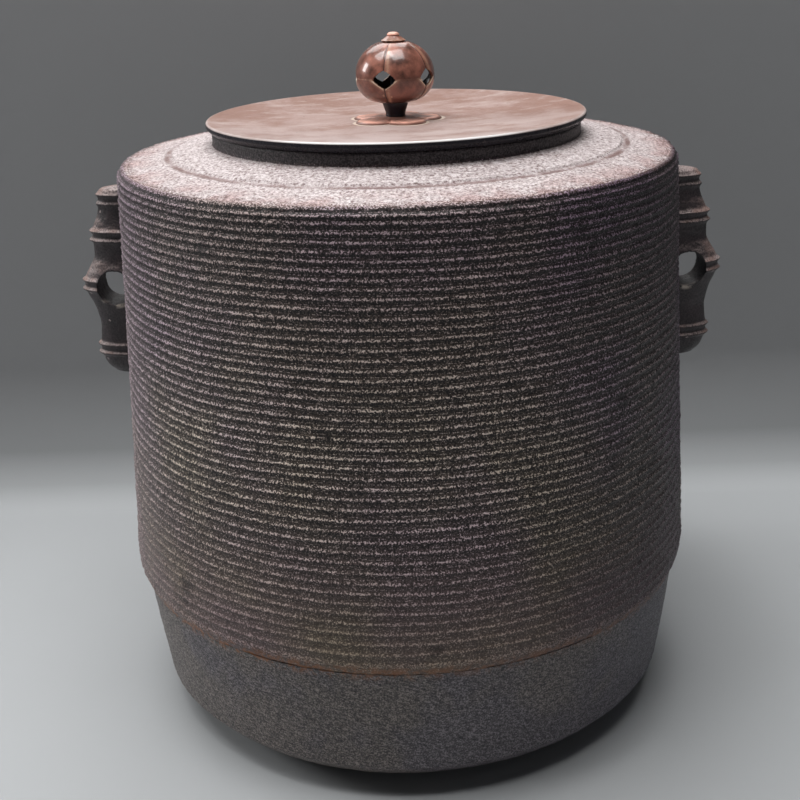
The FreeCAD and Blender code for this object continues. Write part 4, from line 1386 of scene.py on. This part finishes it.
def photo_camera(settings):
    """Camera that stands, looks and leans as the settings say."""
    camera = bpy.data.cameras.new("photo_camera")
    camera.sensor_width = 36.0
    camera.lens = settings.camera_lens
    camera.clip_start = 0.01
    yaw, pitch, roll = settings.camera_turn
    forward = Vector((math.sin(yaw) * math.cos(pitch), math.cos(yaw) * math.cos(pitch), -math.sin(pitch)))
    level = Vector((math.cos(yaw), -math.sin(yaw), 0.0))
    upright = level.cross(forward)
    right = level * math.cos(roll) + upright * math.sin(roll)
    up = upright * math.cos(roll) - level * math.sin(roll)
    holder = in_scene("photo_camera", camera)
    turn = Matrix((right, up, -forward)).transposed().to_4x4()
    holder.matrix_world = Matrix.Translation(settings.camera_place) @ turn
    return holder


class KETTLE_OT_stage(bpy.types.Operator):
    """Lay the floor and the backdrop and set the lights and the camera"""

    bl_idname = "kettle.stage"
    bl_label = "Stage"

    def execute(self, context):
        scene = context.scene
        settings = scene.kettle_stage
        floor = in_scene("studio_floor", studio_floor("studio_floor"))
        coat(floor.data, finish_of(floor_paper, settings))
        sweep = in_scene("backdrop_sweep", backdrop_sweep("backdrop_sweep"))
        coat(sweep.data, finish_of(backdrop_paper, settings))

        middle = (0.0, 0.0, 0.15)
        for name, place, aim, size in (
            ("back_light", (-0.15, 0.66, 0.92), (0.0, 0.0, 0.2), (0.8, 0.6)),
            ("left_light", (-1.90, 0.35, 0.95), middle, (0.5, 0.7)),
            ("key_light", (-0.70, -0.16, 2.00), middle, (0.9, 0.9)),
            ("top_light", (0.04, -0.12, 1.20), middle, (0.6, 0.7)),
        ):
            soft_light(name, place, aim, size, getattr(settings, name))

        scene.world = bpy.data.worlds.new("studio_air")
        scene.world.use_nodes = True
        background = scene.world.node_tree.nodes["Background"]
        background.inputs["Color"].default_value = (0.50, 0.51, 0.53, 1.0)
        background.inputs["Strength"].default_value = 0.03
        scene.view_settings.view_transform = "Standard"
        scene.camera = photo_camera(settings)
        return {"FINISHED"}


class KETTLE_PT_panel(bpy.types.Panel):
    """Pieces of the kettle and their settings"""

    bl_idname = "KETTLE_PT_panel"
    bl_label = "Hearth water kettle"
    bl_space_type = "VIEW_3D"
    bl_region_type = "UI"
    bl_category = "Kettle"

    def draw(self, context):
        for operator in OPERATORS:
            self.layout.operator(operator.bl_idname)
        for name, group in SETTINGS.items():
            box = self.layout.box()
            for setting in group.__annotations__:
                box.prop(getattr(context.scene, name), setting)


SETTINGS = {
    "kettle_wall": WallSettings,
    "kettle_bottom": BottomSettings,
    "kettle_lugs": LugSettings,
    "kettle_lid": LidSettings,
    "kettle_knob": KnobSettings,
    "kettle_stage": StageSettings,
}
OPERATORS = (
    KETTLE_OT_wall,
    KETTLE_OT_bottom,
    KETTLE_OT_lugs,
    KETTLE_OT_lid,
    KETTLE_OT_petals,
    KETTLE_OT_knob,
    KETTLE_OT_stem,
    KETTLE_OT_irons,
    KETTLE_OT_stage,
)


def register():
    for name, group in SETTINGS.items():
        bpy.utils.register_class(group)
        setattr(bpy.types.Scene, name, bpy.props.PointerProperty(type=group))
    for operator in OPERATORS:
        bpy.utils.register_class(operator)
    bpy.utils.register_class(KETTLE_PT_panel)


def unregister():
    bpy.utils.unregister_class(KETTLE_PT_panel)
    for operator in reversed(OPERATORS):
        bpy.utils.unregister_class(operator)
    for name, group in SETTINGS.items():
        delattr(bpy.types.Scene, name)
        bpy.utils.unregister_class(group)


def main():
    register()
    bpy.ops.kettle.wall()
    bpy.ops.kettle.bottom()
    bpy.ops.kettle.lugs()
    bpy.ops.kettle.lid()
    bpy.ops.kettle.petals()
    bpy.ops.kettle.knob()
    bpy.ops.kettle.stem()
    bpy.ops.kettle.irons()
    bpy.ops.kettle.stage()


if __name__ == "__main__":
    main()
